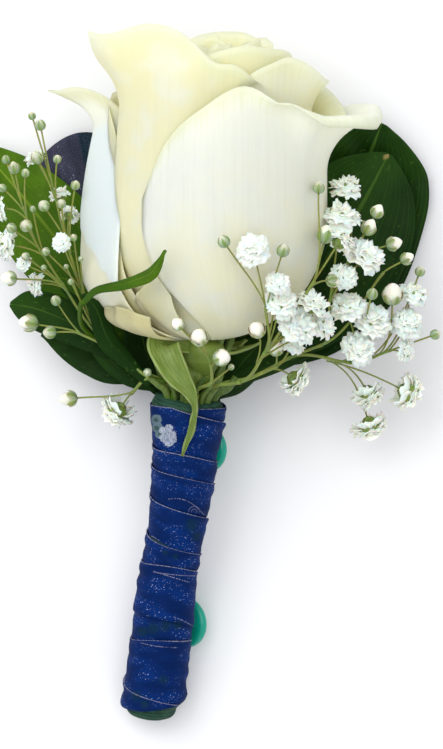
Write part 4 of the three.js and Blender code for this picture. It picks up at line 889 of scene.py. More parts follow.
# Each spray grows from a root angle round the mouth of the tape through joints, each with the joint
# that it grows from, to tips: the joint that bears it, its kind, its place and its size in millimetres.
SPRAYS = {
    "babys_breath_left": dict(root=172, joints=dict(
        a=("root", [-8.8, 5.6, 20.6]), b=("a", [-17.2, 12.6, 21]), c=("b", [-20.6, 21.4, 23]),
        d=("c", [-23.5, 30.8, 26]), e=("d", [-25.8, 40.2, 28]), f=("b", [-24.4, 22.6, 24]),
        g=("f", [-28.4, 28.8, 27]), h=("g", [-31.6, 37.0, 28])),
        tips=[
            ("e", BUD, [-29.8, 54.0, 29], 0.75), ("e", BUD, [-28.2, 52.2, 30.6], 1.05),
            ("e", OPEN, [-29.4, 46.4, 27], 1.7), ("e", BUD, [-25.0, 45.8, 31], 0.8),
            ("d", BUD, [-24.2, 37.4, 32], 0.9), ("d", BUD, [-27.5, 37.0, 31.6], 1.1),
            ("d", OPEN, [-24.8, 39.6, 23], 1.7), ("d", OPEN, [-22.9, 35.8, 21.4], 1.6),
            ("c", OPEN, [-24.2, 30.2, 33.4], 1.5), ("c", BUD, [-27.1, 28.4, 32], 0.8),
            ("c", BUD, [-21.9, 31.0, 32], 0.7),
            ("h", BUD, [-33.2, 44.2, 28.6], 1.15), ("h", BUD, [-34.8, 45.8, 27], 0.8),
            ("h", BUD, [-35.4, 40.4, 29], 0.8), ("h", BUD, [-31.0, 43.2, 30.6], 0.8),
            ("g", BUD, [-33.6, 32.8, 31.2], 1.0), ("g", BUD, [-30.8, 33.2, 32.8], 1.2),
            ("h", OPEN, [-36.4, 36.4, 25], 1.9), ("g", OPEN, [-35.4, 30.0, 26.4], 2.5),
            ("f", OPEN, [-31.6, 26.2, 28], 1.4), ("f", BUD, [-34.2, 23.4, 26.4], 1.5),
            ("f", OPEN, [-29.6, 22.4, 22], 1.9),
            ("c", BUD, [-20.6, 27.0, 30], 0.5), ("b", BUD, [-23.4, 25.6, 27], 0.5),
            ("f", BUD, [-27.6, 25.4, 29], 0.55), ("g", BUD, [-29.6, 36.4, 31], 0.6),
            ("d", BUD, [-21.6, 40.9, 30], 0.9), ("e", BUD, [-28.8, 46.0, 31], 1.2),
            ("f", BUD, [-31.0, 27.5, 30], 0.8), ("b", BUD, [-22.5, 22.7, 28], 0.6)]),
    "babys_breath_left_low": dict(root=158, joints=dict(
        a=("root", [-7.4, 4.4, 23.8]), b=("a", [-13.6, 9.2, 22.8]), c=("b", [-21.8, 13.4, 21.8]),
        d=("a", [-11.2, 1.6, 20.2])),
        tips=[
            ("c", BUD, [-30.6, 15.0, 21.4], 1.8), ("c", BUD, [-26.6, 13.2, 23], 1.25),
            ("c", BUD, [-25.4, 19.2, 24.4], 1.0),
            ("d", OPEN, [-14.2, -2.2, 17.6], 2.9), ("d", BUD, [-23.2, 0.6, 16.4], 1.7),
            ("a", BUD, [-8.0, 5.6, 28.6], 0.8)]),
    "babys_breath_front": dict(root=72, joints=dict(
        a=("root", [3.8, 3.4, 31]), b=("a", [4.0, 7.2, 36])),
        tips=[
            ("b", BUD, [-2.2, 14.6, 44.4], 1.3), ("b", BUD, [1.8, 12.2, 42.2], 1.8),
            ("b", BUD, [6.0, 8.4, 38.6], 1.7), ("a", BUD, [7.8, 6.6, 33.6], 0.6)]),
    "babys_breath_right": dict(root=8, joints=dict(
        a=("root", [11.4, 4.6, 22.6]), b=("a", [18.9, 8.4, 24.4]), c=("b", [25.0, 10.8, 25.4]),
        d=("c", [26.4, 19.4, 29]), e=("d", [30.4, 27.6, 27]), f=("c", [36.7, 24.6, 24]),
        g=("b", [30.6, 7.4, 22]), h=("g", [38.2, 9.8, 20])),
        tips=[
            ("d", OPEN, [28.6, 35.4, 31], 3.2), ("e", OPEN, [29.4, 40.8, 26], 2.6),
            ("d", OPEN, [33.2, 27.8, 30], 3.2), ("d", OPEN, [29.2, 24.0, 32], 2.3),
            ("e", BUD, [35.4, 36.0, 27], 1.35), ("e", BUD, [33.8, 33.0, 28], 1.6),
            ("e", BUD, [38.6, 30.0, 24.6], 1.5), ("f", BUD, [41.1, 27.2, 23.4], 1.3),
            ("g", OPEN, [30.0, 18.4, 28], 2.9), ("g", OPEN, [34.6, 15.8, 25], 3.1),
            ("g", BUD, [34.4, 20.4, 29.4], 1.1), ("g", OPEN, [32.0, 10.4, 25.4], 2.8),
            ("g", OPEN, [34.3, 1.0, 15.4], 2.8), ("g", OPEN, [34.5, -5.1, 12.6], 2.9),
            ("g", OPEN, [41.9, 1.6, 14.6], 3.0),
            ("h", OPEN, [41.4, 9.6, 20.6], 1.9), ("h", OPEN, [41.4, 15.2, 21.6], 2.7),
            ("h", OPEN, [42.6, 20.8, 20], 2.6), ("h", BUD, [38.4, 20.4, 24.4], 2.1),
            ("h", BUD, [46.6, 12.8, 20], 1.0), ("h", BUD, [43.7, 24.8, 20.6], 1.0)]),
    "babys_breath_right_front": dict(root=38, joints=dict(
        a=("root", [9.6, 3.8, 28.4]), b=("a", [14.2, 9.4, 36.6]), c=("b", [14.2, 17.8, 45.6]),
        d=("b", [23.4, 22.8, 39.6]), e=("a", [16.6, 6.8, 28.6])),
        tips=[
            ("c", BUD, [6.4, 29.8, 53.2], 1.2), ("c", OPEN, [11.8, 28.6, 52.4], 2.7),
            ("c", BUD, [17.4, 28.2, 49.2], 1.25),
            ("d", BUD, [24.2, 40.2, 38.4], 1.15), ("d", BUD, [25.4, 31.4, 37.2], 1.7),
            ("d", BUD, [26.8, 22.8, 36.4], 1.3), ("d", OPEN, [28.4, 30.6, 36.2], 2.4),
            ("b", OPEN, [17.2, 18.8, 44.6], 2.7), ("b", OPEN, [16.4, 22.4, 47.8], 1.9),
            ("b", OPEN, [20.6, 14.6, 39], 3.2), ("b", OPEN, [23.4, 18.6, 38.2], 2.7),
            ("b", OPEN, [25.4, 14.6, 33.8], 2.3), ("b", BUD, [12.6, 13.6, 41.6], 1.7),
            ("e", OPEN, [19.6, 11.0, 31.4], 1.8), ("e", BUD, [16.2, 10.2, 31.6], 1.6),
            ("e", OPEN, [20.4, 4.0, 25], 2.7)]),
}
FORK_THINNING = 0.06
FORK_OVERLAP = 0.3
FORK_RINGS = 14
STEM_SLIM = 0.62
NODE_SWELL = 0.35
NODE_SPREAD = 1.2
TIP_RINGS = 12
TIP_STEM_RADIUS = 0.17
TIP_SPACING = 0.8
FLORET_FULLNESS = 1.12
FLORET_TILTS = (0.2, 0.6, 0.35)
FLORET_SEAT = 0.7
FLORET_FOOT = 0.78
FLORET_CUP = [(0, 0.06), (0.1, 0.2), (0.3, 0.29), (0.56, 0.33), (0.8, 0.27)]
FLORET_DOME = [(-0.14, 0.3), (-0.08, 0.72), (0.02, 0.86), (0.16, 0.74), (0.3, 0.46), (0.36, 0.12)]
FLORET_PETAL_THICKNESS = 0.08
SEPAL_TIP_THICKNESS = 0.1
# Each whorl of a floret: its petals, their length, how many degrees they rise and their width.
WHORLS = [(6, 1.12, 4, 1.3), (7, 1.08, 24, 1.25), (7, 1.0, 42, 1.1), (6, 0.9, 60, 0.9), (4, 0.75, 78, 0.7)]
SMALL_BUD = 1.28
BUD_TILT = 0.15
BUD_SEAT = 0.9
BUD_HEIGHTS = np.array([-1.0, -0.9, -0.7, -0.4, -0.05, 0.3, 0.6, 0.85, 1.02, 1.12])
BUD_WIDTHS = np.array([0.1, 0.4, 0.66, 0.84, 0.9, 0.86, 0.72, 0.5, 0.28, 0.08])
COAT_STANDOFF = 0.07
COAT_THICKNESS = 0.07


def bezier(start, leaving, end, arriving, count):
    """Points of a stem that leaves along one direction and arrives along another."""
    span = np.linalg.norm(end - start) / 3
    points = [start, start + leaving * span, end - arriving * span, end]
    t = np.linspace(0, 1, count)[:, None]
    weights = [(1 - t) ** 3, 3 * t * (1 - t) ** 2, 3 * t * t * (1 - t), t**3]
    return sum(w * p for w, p in zip(weights, points))


def add_floret(form, at, facing, size, rng):
    """An open double floret: a green cup and whorls of narrow petals with notched, wavy tips."""
    side, other, axis = frame_about(facing)
    foot = at - axis * FLORET_FOOT * size
    cup_profile = [(h * size, r * size) for h, r in FLORET_CUP]
    add_lathe(form, foot, axis, cup_profile, 10, green=np.linspace(1, 0.75, len(FLORET_CUP)), shade=0.5)
    for n in range(5):
        angle = TURN * n / 5
        add_sepal(form, foot, axis, side * math.cos(angle) + other * math.sin(angle), size)
    add_lathe(form, at, axis, [(h * size, r * size * 0.86) for h, r in FLORET_DOME], 14, green=0, shade=0.6)
    t = np.linspace(0, 1, 6)[:, None]
    u = np.linspace(-1, 1, 9)[None, :]
    for count, length, lift, width in WHORLS:
        first = rng.uniform(0, TURN)
        for n in range(count):
            angle = first + TURN * (n + rng.uniform(-0.2, 0.2)) / count
            long = size * length * rng.uniform(0.88, 1.08)
            rise = math.radians(lift + rng.uniform(-10, 10))
            out = side * math.cos(angle) + other * math.sin(angle)
            beside = -side * math.sin(angle) + other * math.cos(angle)
            bow = rise - t * rng.uniform(0.1, 0.7)
            notches = 0.09 * np.sin(u * rng.uniform(6, 10) + rng.uniform(0, TURN)) * t**3
            reach = long * t * (1 - 0.22 * u * u * t + notches)
            wide = size * width * np.sin(math.pi * np.clip(0.06 + 0.5 * t, 0, 1)) * 0.5
            ruffle = size * 0.09 * np.sin(u * rng.uniform(4, 7) + rng.uniform(0, TURN)) * t**1.5
            height = reach * np.sin(bow) + ruffle - size * 0.1 * (u * u) * t
            grid = moved(
                at - axis * 0.1 * size, (reach * np.cos(bow), out), (wide * u, beside), (height, axis))
            green = np.clip(0.35 - t * 1.6, 0, 1)
            add_blade(form, grid, FLORET_PETAL_THICKNESS, green=green, shade=rng.uniform(0.3, 1))


def add_sepal(form, foot, axis, out, size):
    """One pointed green sepal, pressed against the cup and then the petals."""
    t = np.linspace(0, 1, 7)[:, None]
    u = np.linspace(-1, 1, 4)[None, :]
    beside = np.cross(axis, out)
    climb = size * (0.12 + 0.95 * t)
    away = size * (0.26 + 0.42 * np.sin(t * 1.9))
    wide = size * 0.27 * np.sin(math.pi * np.clip(0.25 + 0.75 * t, 0, 1)) + 0.02
    grid = moved(foot, (climb, axis), (away - size * 0.05 * u * u, out), (wide * u, beside))
    add_blade(form, grid, SEPAL_TIP_THICKNESS, green=1, shade=0.5)


def add_bud(form, at, facing, size, rng):
    """A closed bud: white petals that part a green coat of five pointed sepals."""
    small = size < SMALL_BUD
    phase = rng.uniform(0, TURN)

    def swirl(ring, angle):
        return 0.06 * np.sin(3 * angle + phase + 0.5 * ring) * min(1, ring / 5)

    profile = list(zip(BUD_HEIGHTS * size, BUD_WIDTHS * size * rng.uniform(0.86, 1.0)))
    green = np.linspace(0.5, 0, len(profile)) + (0.4 if small else 0)
    add_lathe(form, at, facing, profile, 18, scallop=swirl, green=green, shade=rng.uniform(0.6, 1))
    side, other, axis = frame_about(facing)
    cover = rng.uniform(0.95, 1.25) if small else rng.uniform(0.6, 0.9)
    t = np.linspace(0, 1, 8)[:, None]
    u = np.linspace(-1, 1, 5)[None, :]
    for n in range(5):
        climb = -1.0 + 1.75 * cover * t
        belly = (np.interp(climb, BUD_HEIGHTS, BUD_WIDTHS) + COAT_STANDOFF) * size
        spread = (0.48 + 0.22 * cover) * np.sin(math.pi * np.clip(0.2 + 0.8 * t, 0, 1)) ** 0.8
        turn = phase + TURN * n / 5 + u * spread
        grid = moved(at, (climb * size, axis), (belly * np.cos(turn), side), (belly * np.sin(turn), other))
        add_blade(form, grid, COAT_THICKNESS, green=1 - 0.35 * np.abs(u), shade=0.4)


def spray_paint():
    """White petals and yellow-green stems, cups and bud coats, by the points' own greenness."""
    paint = Paint(
        "babys_breath", Roughness=0.6, Specular_IOR_Level=0.25, Subsurface_Weight=0.4,
        Subsurface_Scale=0.0015)
    green, shade = paint.value("green"), paint.value("shade")
    grain = paint.noise(paint.place(), 700.0, detail=2.0)
    white = paint.blend(shade, (0.88, 0.86, 0.75), (0.97, 0.95, 0.86))
    leafy = paint.blend(grain, (0.07, 0.12, 0.015), (0.27, 0.36, 0.08))
    paint.set("Base Color", paint.blend((green + (grain - 0.5) * 0.3 * green).at_most(1.0), white, leafy))
    paint.bump(grain, 0.3, 0.1)
    return paint.material


def make_sprays():
    material = spray_paint()
    swollen = 1 + NODE_SWELL * np.exp(-((np.arange(1 - FORK_RINGS, 1) / NODE_SPREAD) ** 2))
    for number, (name, spec) in enumerate(SPRAYS.items()):
        rng = np.random.default_rng(300 + number)
        form = Form()
        start = at_root(-TAPE_RIM - ROOT_LIP, spec["root"])
        joints = {"root": (start, -down, 0)}
        root = np.linspace(at_root(ROOT_DEPTH, spec["root"]), start, 4)
        add_tube(form, root, ROOT_RADIUS, 8, green=1, shade=1)
        for joint, (parent, place) in spec["joints"].items():
            origin, leaving, order = joints[parent]
            place = np.array(place, float)
            arriving = unit(place - origin)
            joints[joint] = (place, arriving, order + 1)
            line = bezier(origin - leaving * FORK_OVERLAP, leaving, place, arriving, FORK_RINGS)
            thick = ROOT_RADIUS - FORK_THINNING * (order + np.linspace(0, 1, FORK_RINGS))
            add_tube(form, line, thick * STEM_SLIM * swollen, 8, green=1, shade=1)
        borne = {}
        for parent, kind, place, size in spec["tips"]:
            origin, leaving, _ = joints[parent]
            borne[parent] = borne.get(parent, -1) + 1
            place = np.array(place, float)
            begin = origin - leaving * TIP_SPACING * borne[parent]
            tilt = FLORET_TILTS[borne[parent] % len(FLORET_TILTS)] if kind == OPEN else BUD_TILT
            facing = unit(unit(place - origin) + vec(0, 0, tilt))
            seat = place - facing * size * (FLORET_SEAT if kind == OPEN else BUD_SEAT)
            line = bezier(begin, unit(leaving + unit(seat - begin)), seat, facing, TIP_RINGS)
            add_tube(form, line, TIP_STEM_RADIUS, 6, green=1, shade=1)
            if kind == OPEN:
                add_floret(form, place, facing, size * FLORET_FULLNESS, rng)
            else:
                add_bud(form, place, facing, size, rng)
        form.piece(name.replace("babys_breath", "gypsophila"), material, "spray", name)


# Ribbons

LOOP = dict(
    root=268,
    line=[[-3.2, 6, 9.4], [-8.6, 18, 3.4], [-15.4, 32, 1.65], [-20.0, 43, 2.4], [-22.2, 51.6, 3.8]],
    half=[1.2, 4.2, 7.6, 9.2, 8.4], puff=[0.5, 1.2, 1.4, 1.5, 0.6], rows=60, columns=24, thickness=0.18)
# Each turn's upper edge: its distance down the handle at the left, the front and the right, and how
# far it stands off. Where that is negative, the turn above it lifts over it instead.
WRAP_EDGES = [
    (-8, -8, -6, 0.45), (-1.6, -0.4, 2.8, 0.3), (9.1, 8.0, 10.7, 0.35), (12.7, 12.6, 15, 0.35),
    (18.4, 19.4, 22, 0.45), (25.9, 27.2, 29.1, 0.4), (32, 30.4, 32.6, 0.25), (40.6, 39.8, 42.6, -0.6),
    (47.7, 45.2, 46.1, 0.35), (56.4, 57.4, 59.4, 0.3), (66, 66, 68, 0.4), (74, 74, 76, 0.4),
]
WRAP_SKEW = 1.3
MOUTH_SKEW = 0.55
MOUTH_DIP = 1.3
WRAP_STEPS = 84
WRAP_ROWS = 22
WRAP_OVERLAP = 1.2
WRAP_THICKNESS = 0.2
LAP = 0.7
LAP_LENGTH = 2.6
CURL_LENGTH = 1.4
SELVEDGE = 0.13
TAB_RINGS = 24
LOOP_EDGE = 0.93


def weave_paint(name, dark, light, thread, alpha):
    """Woven ribbon: crossing threads, paler selvedges and painted glints for its sparkle; sheer if alpha is
    below 1, with painted shade down one side.
    """
    paint = Paint(name, Roughness=0.6, Specular_IOR_Level=0.04)
    u, length = paint.value("width_mm"), paint.value("length_mm")
    edge = paint.value("edge")
    turn = TURN / thread
    warp = (u * turn).sine() * 0.5 + 0.5
    weft = (length * turn).sine() * 0.5 + 0.5
    cloud = paint.noise(paint.vector(u * 0.3, length * 0.12), 1.0, detail=3.0)
    grain = paint.noise(paint.vector(u, length), 2.6, detail=3.0, roughness=0.7)
    # Painted glints: small pale spots that stand for the ribbon's sparkle.
    painted_glint = paint.noise(paint.place(), 4400.0, detail=0.0).rise(0.73, 0.78) * cloud.rise(0.44, 0.6)
    threads = warp * 0.5 + weft * 0.5
    tone = (cloud.rise(0.35, 0.7) * 0.7 + threads * 0.3).at_most(1.0)
    colour = paint.coats(
        dark, (tone, light), (grain.rise(0.5, 0.8) * 0.3, (0.010, 0.040, 0.19)),
        (painted_glint * 0.7, (0.42, 0.48, 0.74)))
    if alpha < 1:
        # Painted shade over the half of the sheer loop that lies towards the bloom.
        colour = paint.coats(
            colour, (u.rise(0.2, 0.7) * 0.8, (0.006, 0.024, 0.036)),
            (edge.rise(0.0, 0.7) * 0.8, (0.004, 0.008, 0.03)))
        paint.set("Alpha", (alpha + threads * 0.12 + edge * 0.3).at_most(1.0))
        seams = 0.0
    else:
        colour, seams = paint_handle(paint, colour, edge, grain)
    paint.set("Base Color", colour)
    paint.bump(threads * 0.5 + grain * 0.4 + seams, 0.5, 0.15)
    return paint.material


# Free edges and folds seen across the front of the handle: where each starts and ends, as
# millimetres aside from the handle's middle and down from the neck, and how far it bows down.
SEAMS = [
    [(-1.6, 18.4), (5.6, 20.8), -1.3], [(-2.9, 32.4), (4.2, 33.8), 0.0], [(-2.9, 32.6), (6.0, 32.4), 0.1],
    [(-3.7, 46.4), (3.4, 46.5), 0.2], [(-5.0, 25.6), (-2.2, 26.6), -0.2], [(1.9, 40.7), (5.9, 42.3), -0.2],
]
SEAM_WIDTH = 0.07
# The middle of the ringed mark, then the greener spots and the parts of the pressed floret with a
# radius each, all in the same millimetres as the seams.
EYE = (3.5, 20.2)
GREEN_SPOTS = [
    (3.4, 22.8, 1.9), (4.4, 24.8, 1.4), (-3.6, 44.2, 1.5), (-1.6, 43.4, 1.7), (0.6, 42.6, 1.7),
    (2.8, 42.2, 1.4), (-1.0, 28.6, 0.8), (1.0, 29.0, 0.8), (-3.4, 56.8, 1.5), (-1.6, 58.0, 1.2),
    (1.4, 53.0, 1.3),
]
PRESSED_LOBES = [(-5.5, 3.6, 1.1), (-5.2, 5.0, 1.1), (-4.6, 6.3, 0.9)]
PRESSED_MARKS = [(-5.6, 3.7, 0.45), (-5.3, 5.2, 0.5), (-4.5, 6.2, 0.45)]
PRESSED_RUFFLES = [
    (-4.0, 5.5, 0.8), (-3.0, 5.0, 0.9), (-2.4, 6.1, 0.95), (-2.7, 7.4, 1.05), (-3.5, 6.7, 1.1),
    (-2.0, 7.0, 0.7),
]


def paint_handle(paint, colour, edge, grain):
    """The wound ribbon's seams, its greener places where the tape shows through, and the pressed floret."""
    aside, seen, front = paint.value("aside"), paint.value("seen"), paint.value("front")
    dashes = paint.noise(paint.vector(aside * 2.6, seen * 0.5), 1.6, detail=3.0).rise(0.38, 0.6)
    seams = edge.rise(0.35, 0.95) * (0.2 + dashes * 0.8)
    for (x0, y0), (x1, y1), bow in SEAMS:
        share = (aside - x0) / (x1 - x0)
        line = y0 + share * (y1 - y0) + bow * 4 * share * (1 - share)
        within = share.rise(-0.02, 0.05) * share.rise(1.02, 0.95) * front
        seam = abs(seen - line).rise(SEAM_WIDTH * 1.6, SEAM_WIDTH * 0.5)
        seams = seams.at_least(seam * within * dashes * 0.8)

    def away_from(x, y):
        return ((aside - x) ** 2 + (seen - y) ** 2) ** 0.5

    away = away_from(*EYE)
    rings = abs((away * 1.9).fraction() - 0.5).rise(0.3, 0.45) * away.rise(1.35, 1.15) * front
    rings = rings * seen.rise(EYE[1] + 0.4, EYE[1] - 0.2)
    seams = seams.at_least(rings * 0.35)
    frill = paint.noise(paint.vector(aside * 2.5, seen * 2.5), 1.0, detail=3.0)
    streak = paint.noise(paint.vector((aside - seen * 0.4) * 5, seen * 1.2), 1.0, detail=2.0)

    def patch(spots, raggedness, core=0.86):
        inside = 0.0
        for x, y, size in spots:
            inside = (away_from(x, y) + (frill - 0.5) * raggedness).rise(size, size * core) + inside
        return inside.at_most(1.0) * front

    greened = patch(GREEN_SPOTS, 1.6, 0.2)
    lobes, marks = patch(PRESSED_LOBES, 0.5), patch(PRESSED_MARKS, 0.9)
    ruffles = patch(PRESSED_RUFFLES, 1.1)
    colour = paint.coats(
        colour, (greened * 0.8, (0.004, 0.024, 0.050)), (lobes * 0.65, (0.15, 0.22, 0.22)),
        (marks * 0.75, (0.02, 0.05, 0.04)),
        (ruffles * (streak.rise(0.3, 0.65) * 0.6 + 0.3), (0.40, 0.44, 0.52)),
        (seams * 0.8, (0.34, 0.33, 0.45)))
    return colour, seams * 0.5 + (lobes + ruffles).at_most(1.0) * 0.5


def run_of(grid):
    """Millimetres along the middle line of a grid, from its first row."""
    middle = grid[:, grid.shape[1] // 2]
    return np.cumsum(np.r_[0, np.linalg.norm(np.diff(middle, axis=0), axis=1)])[:, None]


def make_loop():
    layer = np.linspace(1, -1, 2 * LOOP["rows"] + 1)[:, None]
    t = 1 - np.abs(layer)
    u = np.linspace(-1, 1, LOOP["columns"] + 1)[None, :]
    share = t * (1 - 0.12 * u * u)
    line = LOOP["line"]
    centre = through(line, share)
    ahead = unit(through(line, np.minimum(1, share + 0.01)) - through(line, np.maximum(0, share - 0.01)))
    side = unit(np.cross(ahead, vec(0, 0, 1)))
    normal = np.cross(side, ahead)
    half, puff = along(LOOP["half"], share), along(LOOP["puff"], share)
    fold = np.sqrt(np.clip(1 - (1 - np.abs(layer)) ** 6, 0, 1)) * np.sign(layer)
    gather = 0.3 * np.sin(u * 9 + 2) * (1 - share) ** 2 + 0.2 * waves(8, u * 2, share * 5, layer * 2)
    lift = fold * puff + gather * np.sign(fold) * (np.abs(layer) < 0.96)
    grid = centre + side * (u * half)[..., None] + normal * lift[..., None]
    form = Form()
    edge = np.abs(u) > LOOP_EDGE
    add_blade(form, grid, LOOP["thickness"], width_mm=u * half, length_mm=run_of(grid), edge=edge)
    tab = through([*root_line(LOOP["root"]), line[0], through(line, 0.06)], np.linspace(0, 1, TAB_RINGS))
    lengths = np.linspace(0, 8, TAB_RINGS)[:, None]
    add_tube(form, tab, np.linspace(0.5, 1.0, TAB_RINGS), 10, width_mm=0, length_mm=lengths, edge=0)
    paint = weave_paint("sheer_ribbon", (0.028, 0.030, 0.050), (0.066, 0.066, 0.105), 0.5, 0.85)
    piece = form.piece("ribbon_loop_sheer", paint, "sheer_ribbon", "ribbon_loop")


def make_wound_ribbon():
    edges = np.array(WRAP_EDGES, float)
    numbers = np.arange(len(edges))
    spots = (numbers[:, None] + np.array([-0.25, 0, 0.25])).ravel()
    last = np.interp(WRAP_LENGTH + WRAP_SKEW, edges[:, 1], numbers)
    w = np.linspace(0.02, last - 0.02, int(WRAP_STEPS * last))[:, None]
    v = np.linspace(0, 1, WRAP_ROWS + 1)[None, :] ** 1.6
    fine = np.linspace(-0.25, numbers[-1], WRAP_STEPS * len(numbers))
    plain = np.interp(fine, spots, edges[:, :3].ravel())
    eased = np.convolve(np.pad(plain, 8, mode="edge"), np.ones(17) / 17, mode="valid")
    angle = math.pi / 2 - TURN * w
    mouth = 0.3 - MOUTH_SKEW * np.cos(angle) - MOUTH_DIP * np.maximum(0, np.sin(angle))
    foot = WRAP_LENGTH - WRAP_SKEW * np.cos(angle)
    top = np.clip(np.interp(w, fine, eased), mouth, foot)
    bottom = np.clip(np.interp(w + 1, fine, eased), mouth, foot)
    buried = np.minimum(WRAP_OVERLAP, foot - bottom)
    distance = top + (bottom + buried - top) * v
    lap = LAP * np.interp(w, numbers, edges[:, 3]) * (top > mouth)
    lap_below = LAP * np.interp(w + 1, numbers, edges[:, 3])
    from_top = distance - top
    from_bottom = bottom - distance
    rise = np.maximum(0, lap) * np.exp(-from_top / LAP_LENGTH)
    curl = np.maximum(0, -lap_below) * np.exp(-np.maximum(0, from_bottom) / CURL_LENGTH)
    under = -0.22 * smooth(1 - from_bottom / 0.5) * (lap_below > 0)
    pucker = 0.16 * waves(21, from_top * 0.9, w * 9.0, count=7, spread=1.2)
    pucker = pucker + 0.14 * np.sin(from_top * 2.4 + 2.2 * np.sin(w * 5.1)) * np.exp(-from_top / 3)
    pucker = pucker * smooth((bottom - top) / 3) * smooth(from_top / 0.4)
    flare = 0.35 * smooth((distance - foot + 3) / 3)
    radius = wrap_radius(distance) + rise + curl + under + pucker + flare - WRAP_THICKNESS / 2
    grid = on_handle(distance, radius, angle)
    selvedge = np.exp(-((from_top / SELVEDGE) ** 2))
    form = Form()
    add_blade(
        form, grid, WRAP_THICKNESS, width_mm=from_top, length_mm=run_of(grid), edge=selvedge,
        aside=(grid - NECK) @ handle_right, seen=(grid - NECK) @ unit(down * vec(1, 1, 0)),
        front=smooth(np.sin(angle) / 0.25))
    paint = weave_paint("navy_ribbon", (0.001, 0.010, 0.060), (0.001, 0.024, 0.150), 0.42, 1.0)
    piece = form.piece("ribbon_wound_navy", paint, "navy_ribbon", "ribbon_wound")


# Tape and pins

TAPE_SHOWN = 1.5
TAPE_UNDER_RIBBON = 0.45
TAPE_PITCH = 4.5
TAPE_STEP = 0.12
TAPE_SIDES = 72


def make_tape():
    paint = Paint("floral_tape", Roughness=0.7, Specular_IOR_Level=0.15)
    d, angle = paint.value("length_mm"), paint.value("turn")
    stretch = paint.noise(paint.vector(d * 0.8, angle * 2.5), 1.0, detail=4.0)
    ridges = (d * 9 + angle * 1.2).sine() * 0.5 + 0.5
    crepe = ridges * 0.15 + stretch * 0.6 + paint.noise(paint.place(), 500.0) * 0.25
    green = paint.blend(crepe.rise(0.3, 0.75), (0.008, 0.032, 0.020), (0.028, 0.085, 0.052))
    paint.set("Base Color", green)
    paint.bump(crepe, 0.6, 0.3)
    wall = np.linspace(-TAPE_SHOWN, HANDLE_LENGTH - TAPE_ROUND, 120)
    sink = TAPE_ROUND * np.sin(np.linspace(0.15, 1, 9) * math.pi / 2)
    rounded = TAPE_ROUND - np.sqrt(np.maximum(0, TAPE_ROUND**2 - sink**2))
    distance = np.concatenate([wall, HANDLE_LENGTH - TAPE_ROUND + sink])[:, None]
    angle = -np.arange(TAPE_SIDES)[None, :] * TURN / TAPE_SIDES
    worn = np.concatenate([np.zeros_like(wall), rounded])[:, None]
    radius = wrap_radius(distance) - TAPE_UNDER_RIBBON - worn
    radius = radius + 0.12 * waves(31, distance * 0.8, np.cos(angle) * 3, np.sin(angle) * 3)
    wrap = ((distance + TAPE_PITCH * angle / TURN) / TAPE_PITCH) % 1
    radius = radius + TAPE_STEP * (1 - wrap)
    low = smooth((distance - WRAP_LENGTH + 1) / 2)
    uneven = 1 + np.cos(angle) * 0.8 + waves(35, np.cos(angle) * 2, np.sin(angle) * 2)
    radius = radius * (1 - 0.12 * low * uneven)
    tuck = smooth((-distance + 0.4) / (TAPE_SHOWN + 0.4))
    radius = radius - tuck * (0.9 + 0.35 * waves(33, np.cos(angle) * 2, np.sin(angle) * 2))
    form = Form()
    add_rings(form, on_handle(distance, radius, angle), length_mm=distance, turn=angle)
    form.piece("tape", paint.material, "floral_tape", "floral_tape")


PINS = dict(upper=(10.2, -66), lower=(44.9, -56))
PIN_STANDOFF = 0.8
# The head's outline from its middle underneath to its middle on top, as shares of its size.
PIN_HEAD_PROFILE = [
    (0.0, 0.02), (0.0, 0.5), (0.0, 0.76), (0.05, 0.86), (0.16, 0.94), (0.3, 0.98), (0.44, 1.0),
    (0.58, 1.0), (0.7, 0.97), (0.8, 0.92), (0.88, 0.87), (0.93, 0.82), (0.9, 0.79), (0.86, 0.7),
    (0.85, 0.5), (0.86, 0.2), (0.86, 0.02),
]


def make_pins():
    paint = Paint("teal_pin", Roughness=0.25, Specular_IOR_Level=0.25, Coat_Weight=0.3, Coat_Roughness=0.08)
    swirl = paint.noise(paint.place(), 260.0, detail=2.0)
    paint.set("Base Color", paint.blend(swirl, (0.002, 0.26, 0.17), (0.007, 0.41, 0.29)))
    paint.bump(swirl, 0.15, 0.1)
    steel = Paint("pin_steel", Metallic=1.0)
    brushed = steel.noise(steel.place(), 1500.0, detail=2.0)
    steel.set("Base Color", steel.blend(brushed, (0.45, 0.46, 0.47), (0.62, 0.63, 0.64)))
    steel.set("Roughness", 0.22 + brushed * 0.2)
    for name, (distance, angle) in PINS.items():
        axis = unit(on_handle(0.0, 1.0, math.radians(angle)) - on_handle(0.0, 0.0, 0.0))
        middle = on_handle(float(distance), 0.0, 0.0)
        under = float(wrap_radius(distance)) + PIN_STANDOFF
        profile = [(under + s * PIN_HEAD_THICKNESS, r * PIN_HEAD_RADIUS) for s, r in PIN_HEAD_PROFILE]
        form = Form()
        add_lathe(form, middle, axis, profile, 96)
        form.piece(f"pin_{name}_head", paint.material, "pin_head", f"pin_head_{name}")
        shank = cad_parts[f"pin_shank_{name}"]
        shank.data.materials.clear()
        shank.data.materials.append(steel.material)


# The room: floor, light and camera

# What the camera stands over, in the frame's metres, and how much it sees from how far.
VIEW_CENTRE = vec(2.996, 0.450, 0) * MM
CAMERA_HEIGHT = 1.225
FRAME_HEIGHT = 0.14186
FRAME_DISTANCE = 1.2
FLOOR_SPAN = 3.0
FLOOR_TONES = [(0.84, 0.84, 0.85), (0.86, 0.86, 0.87)]
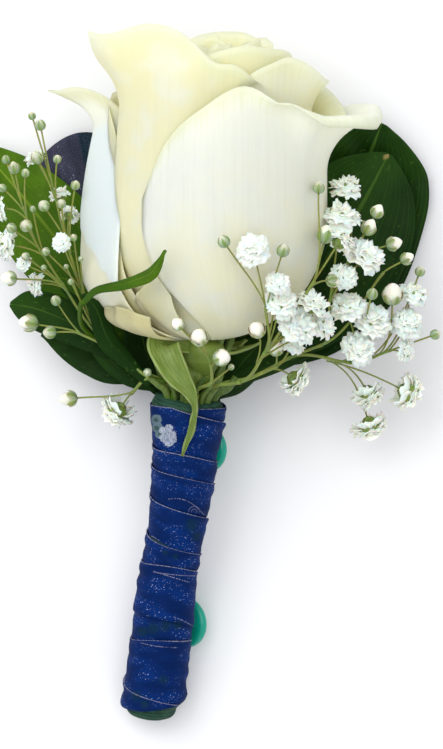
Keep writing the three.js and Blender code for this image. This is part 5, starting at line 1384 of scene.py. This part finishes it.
# Soft lights: each one's name, place, width and power.
LIGHTS = [("key", (-0.5, 0.5, 0.95), 0.9, 5.6), ("top", (0.0, 0.1, 1.7), 1.6, 11.2)]
ROOM_LIGHT = (0.95, 0.97, 1.0, 1.0)
ROOM_LIGHT_POWER = 0.78


def add_light(name, place, size, power):
    light = bpy.data.lights.new(name, "AREA")
    light.shape = "DISK"
    light.size = size
    light.energy = power
    obj = bpy.data.objects.new(name, light)
    obj.location = place
    way = Vector((0, 0, 0)) - Vector(place)
    obj.rotation_euler = way.to_track_quat("-Z", "Y").to_euler()
    bpy.context.scene.collection.objects.link(obj)


def make_floor():
    data = bpy.data.meshes.new("floor")
    corners = [(x * FLOOR_SPAN, y * FLOOR_SPAN, 0) for x, y in ((-1, -1), (1, -1), (1, 1), (-1, 1))]
    data.from_pydata(corners, [], [(0, 1, 2, 3)])
    paint = Paint("pale_floor", Roughness=0.9)
    haze = paint.noise(paint.place(), 6.0, detail=2.0)
    paint.set("Base Color", paint.blend(haze, *FLOOR_TONES))
    data.materials.append(paint.material)
    floor = bpy.data.objects.new("floor", data)
    bpy.context.scene.collection.objects.link(floor)


def make_room():
    make_floor()
    for light in LIGHTS:
        add_light(*light)
    world = bpy.data.worlds.new("room")
    world.use_nodes = True
    background = world.node_tree.nodes["Background"]
    background.inputs["Color"].default_value = ROOM_LIGHT
    background.inputs["Strength"].default_value = ROOM_LIGHT_POWER
    bpy.context.scene.view_settings.view_transform = "Standard"
    bpy.context.scene.world = world
    camera = bpy.data.cameras.new("camera")
    camera.sensor_fit = "VERTICAL"
    camera.angle_y = 2 * math.atan(FRAME_HEIGHT / 2 / FRAME_DISTANCE)
    camera.clip_start = 0.05
    camera.clip_end = 20
    obj = bpy.data.objects.new("camera", camera)
    obj.location = (VIEW_CENTRE[0], VIEW_CENTRE[1], CAMERA_HEIGHT)
    bpy.context.scene.collection.objects.link(obj)
    bpy.context.scene.camera = obj


make_bloom()
make_calyx()
make_leaves()
make_sprays()
make_loop()
make_wound_ribbon()
make_tape()
make_pins()
make_room()
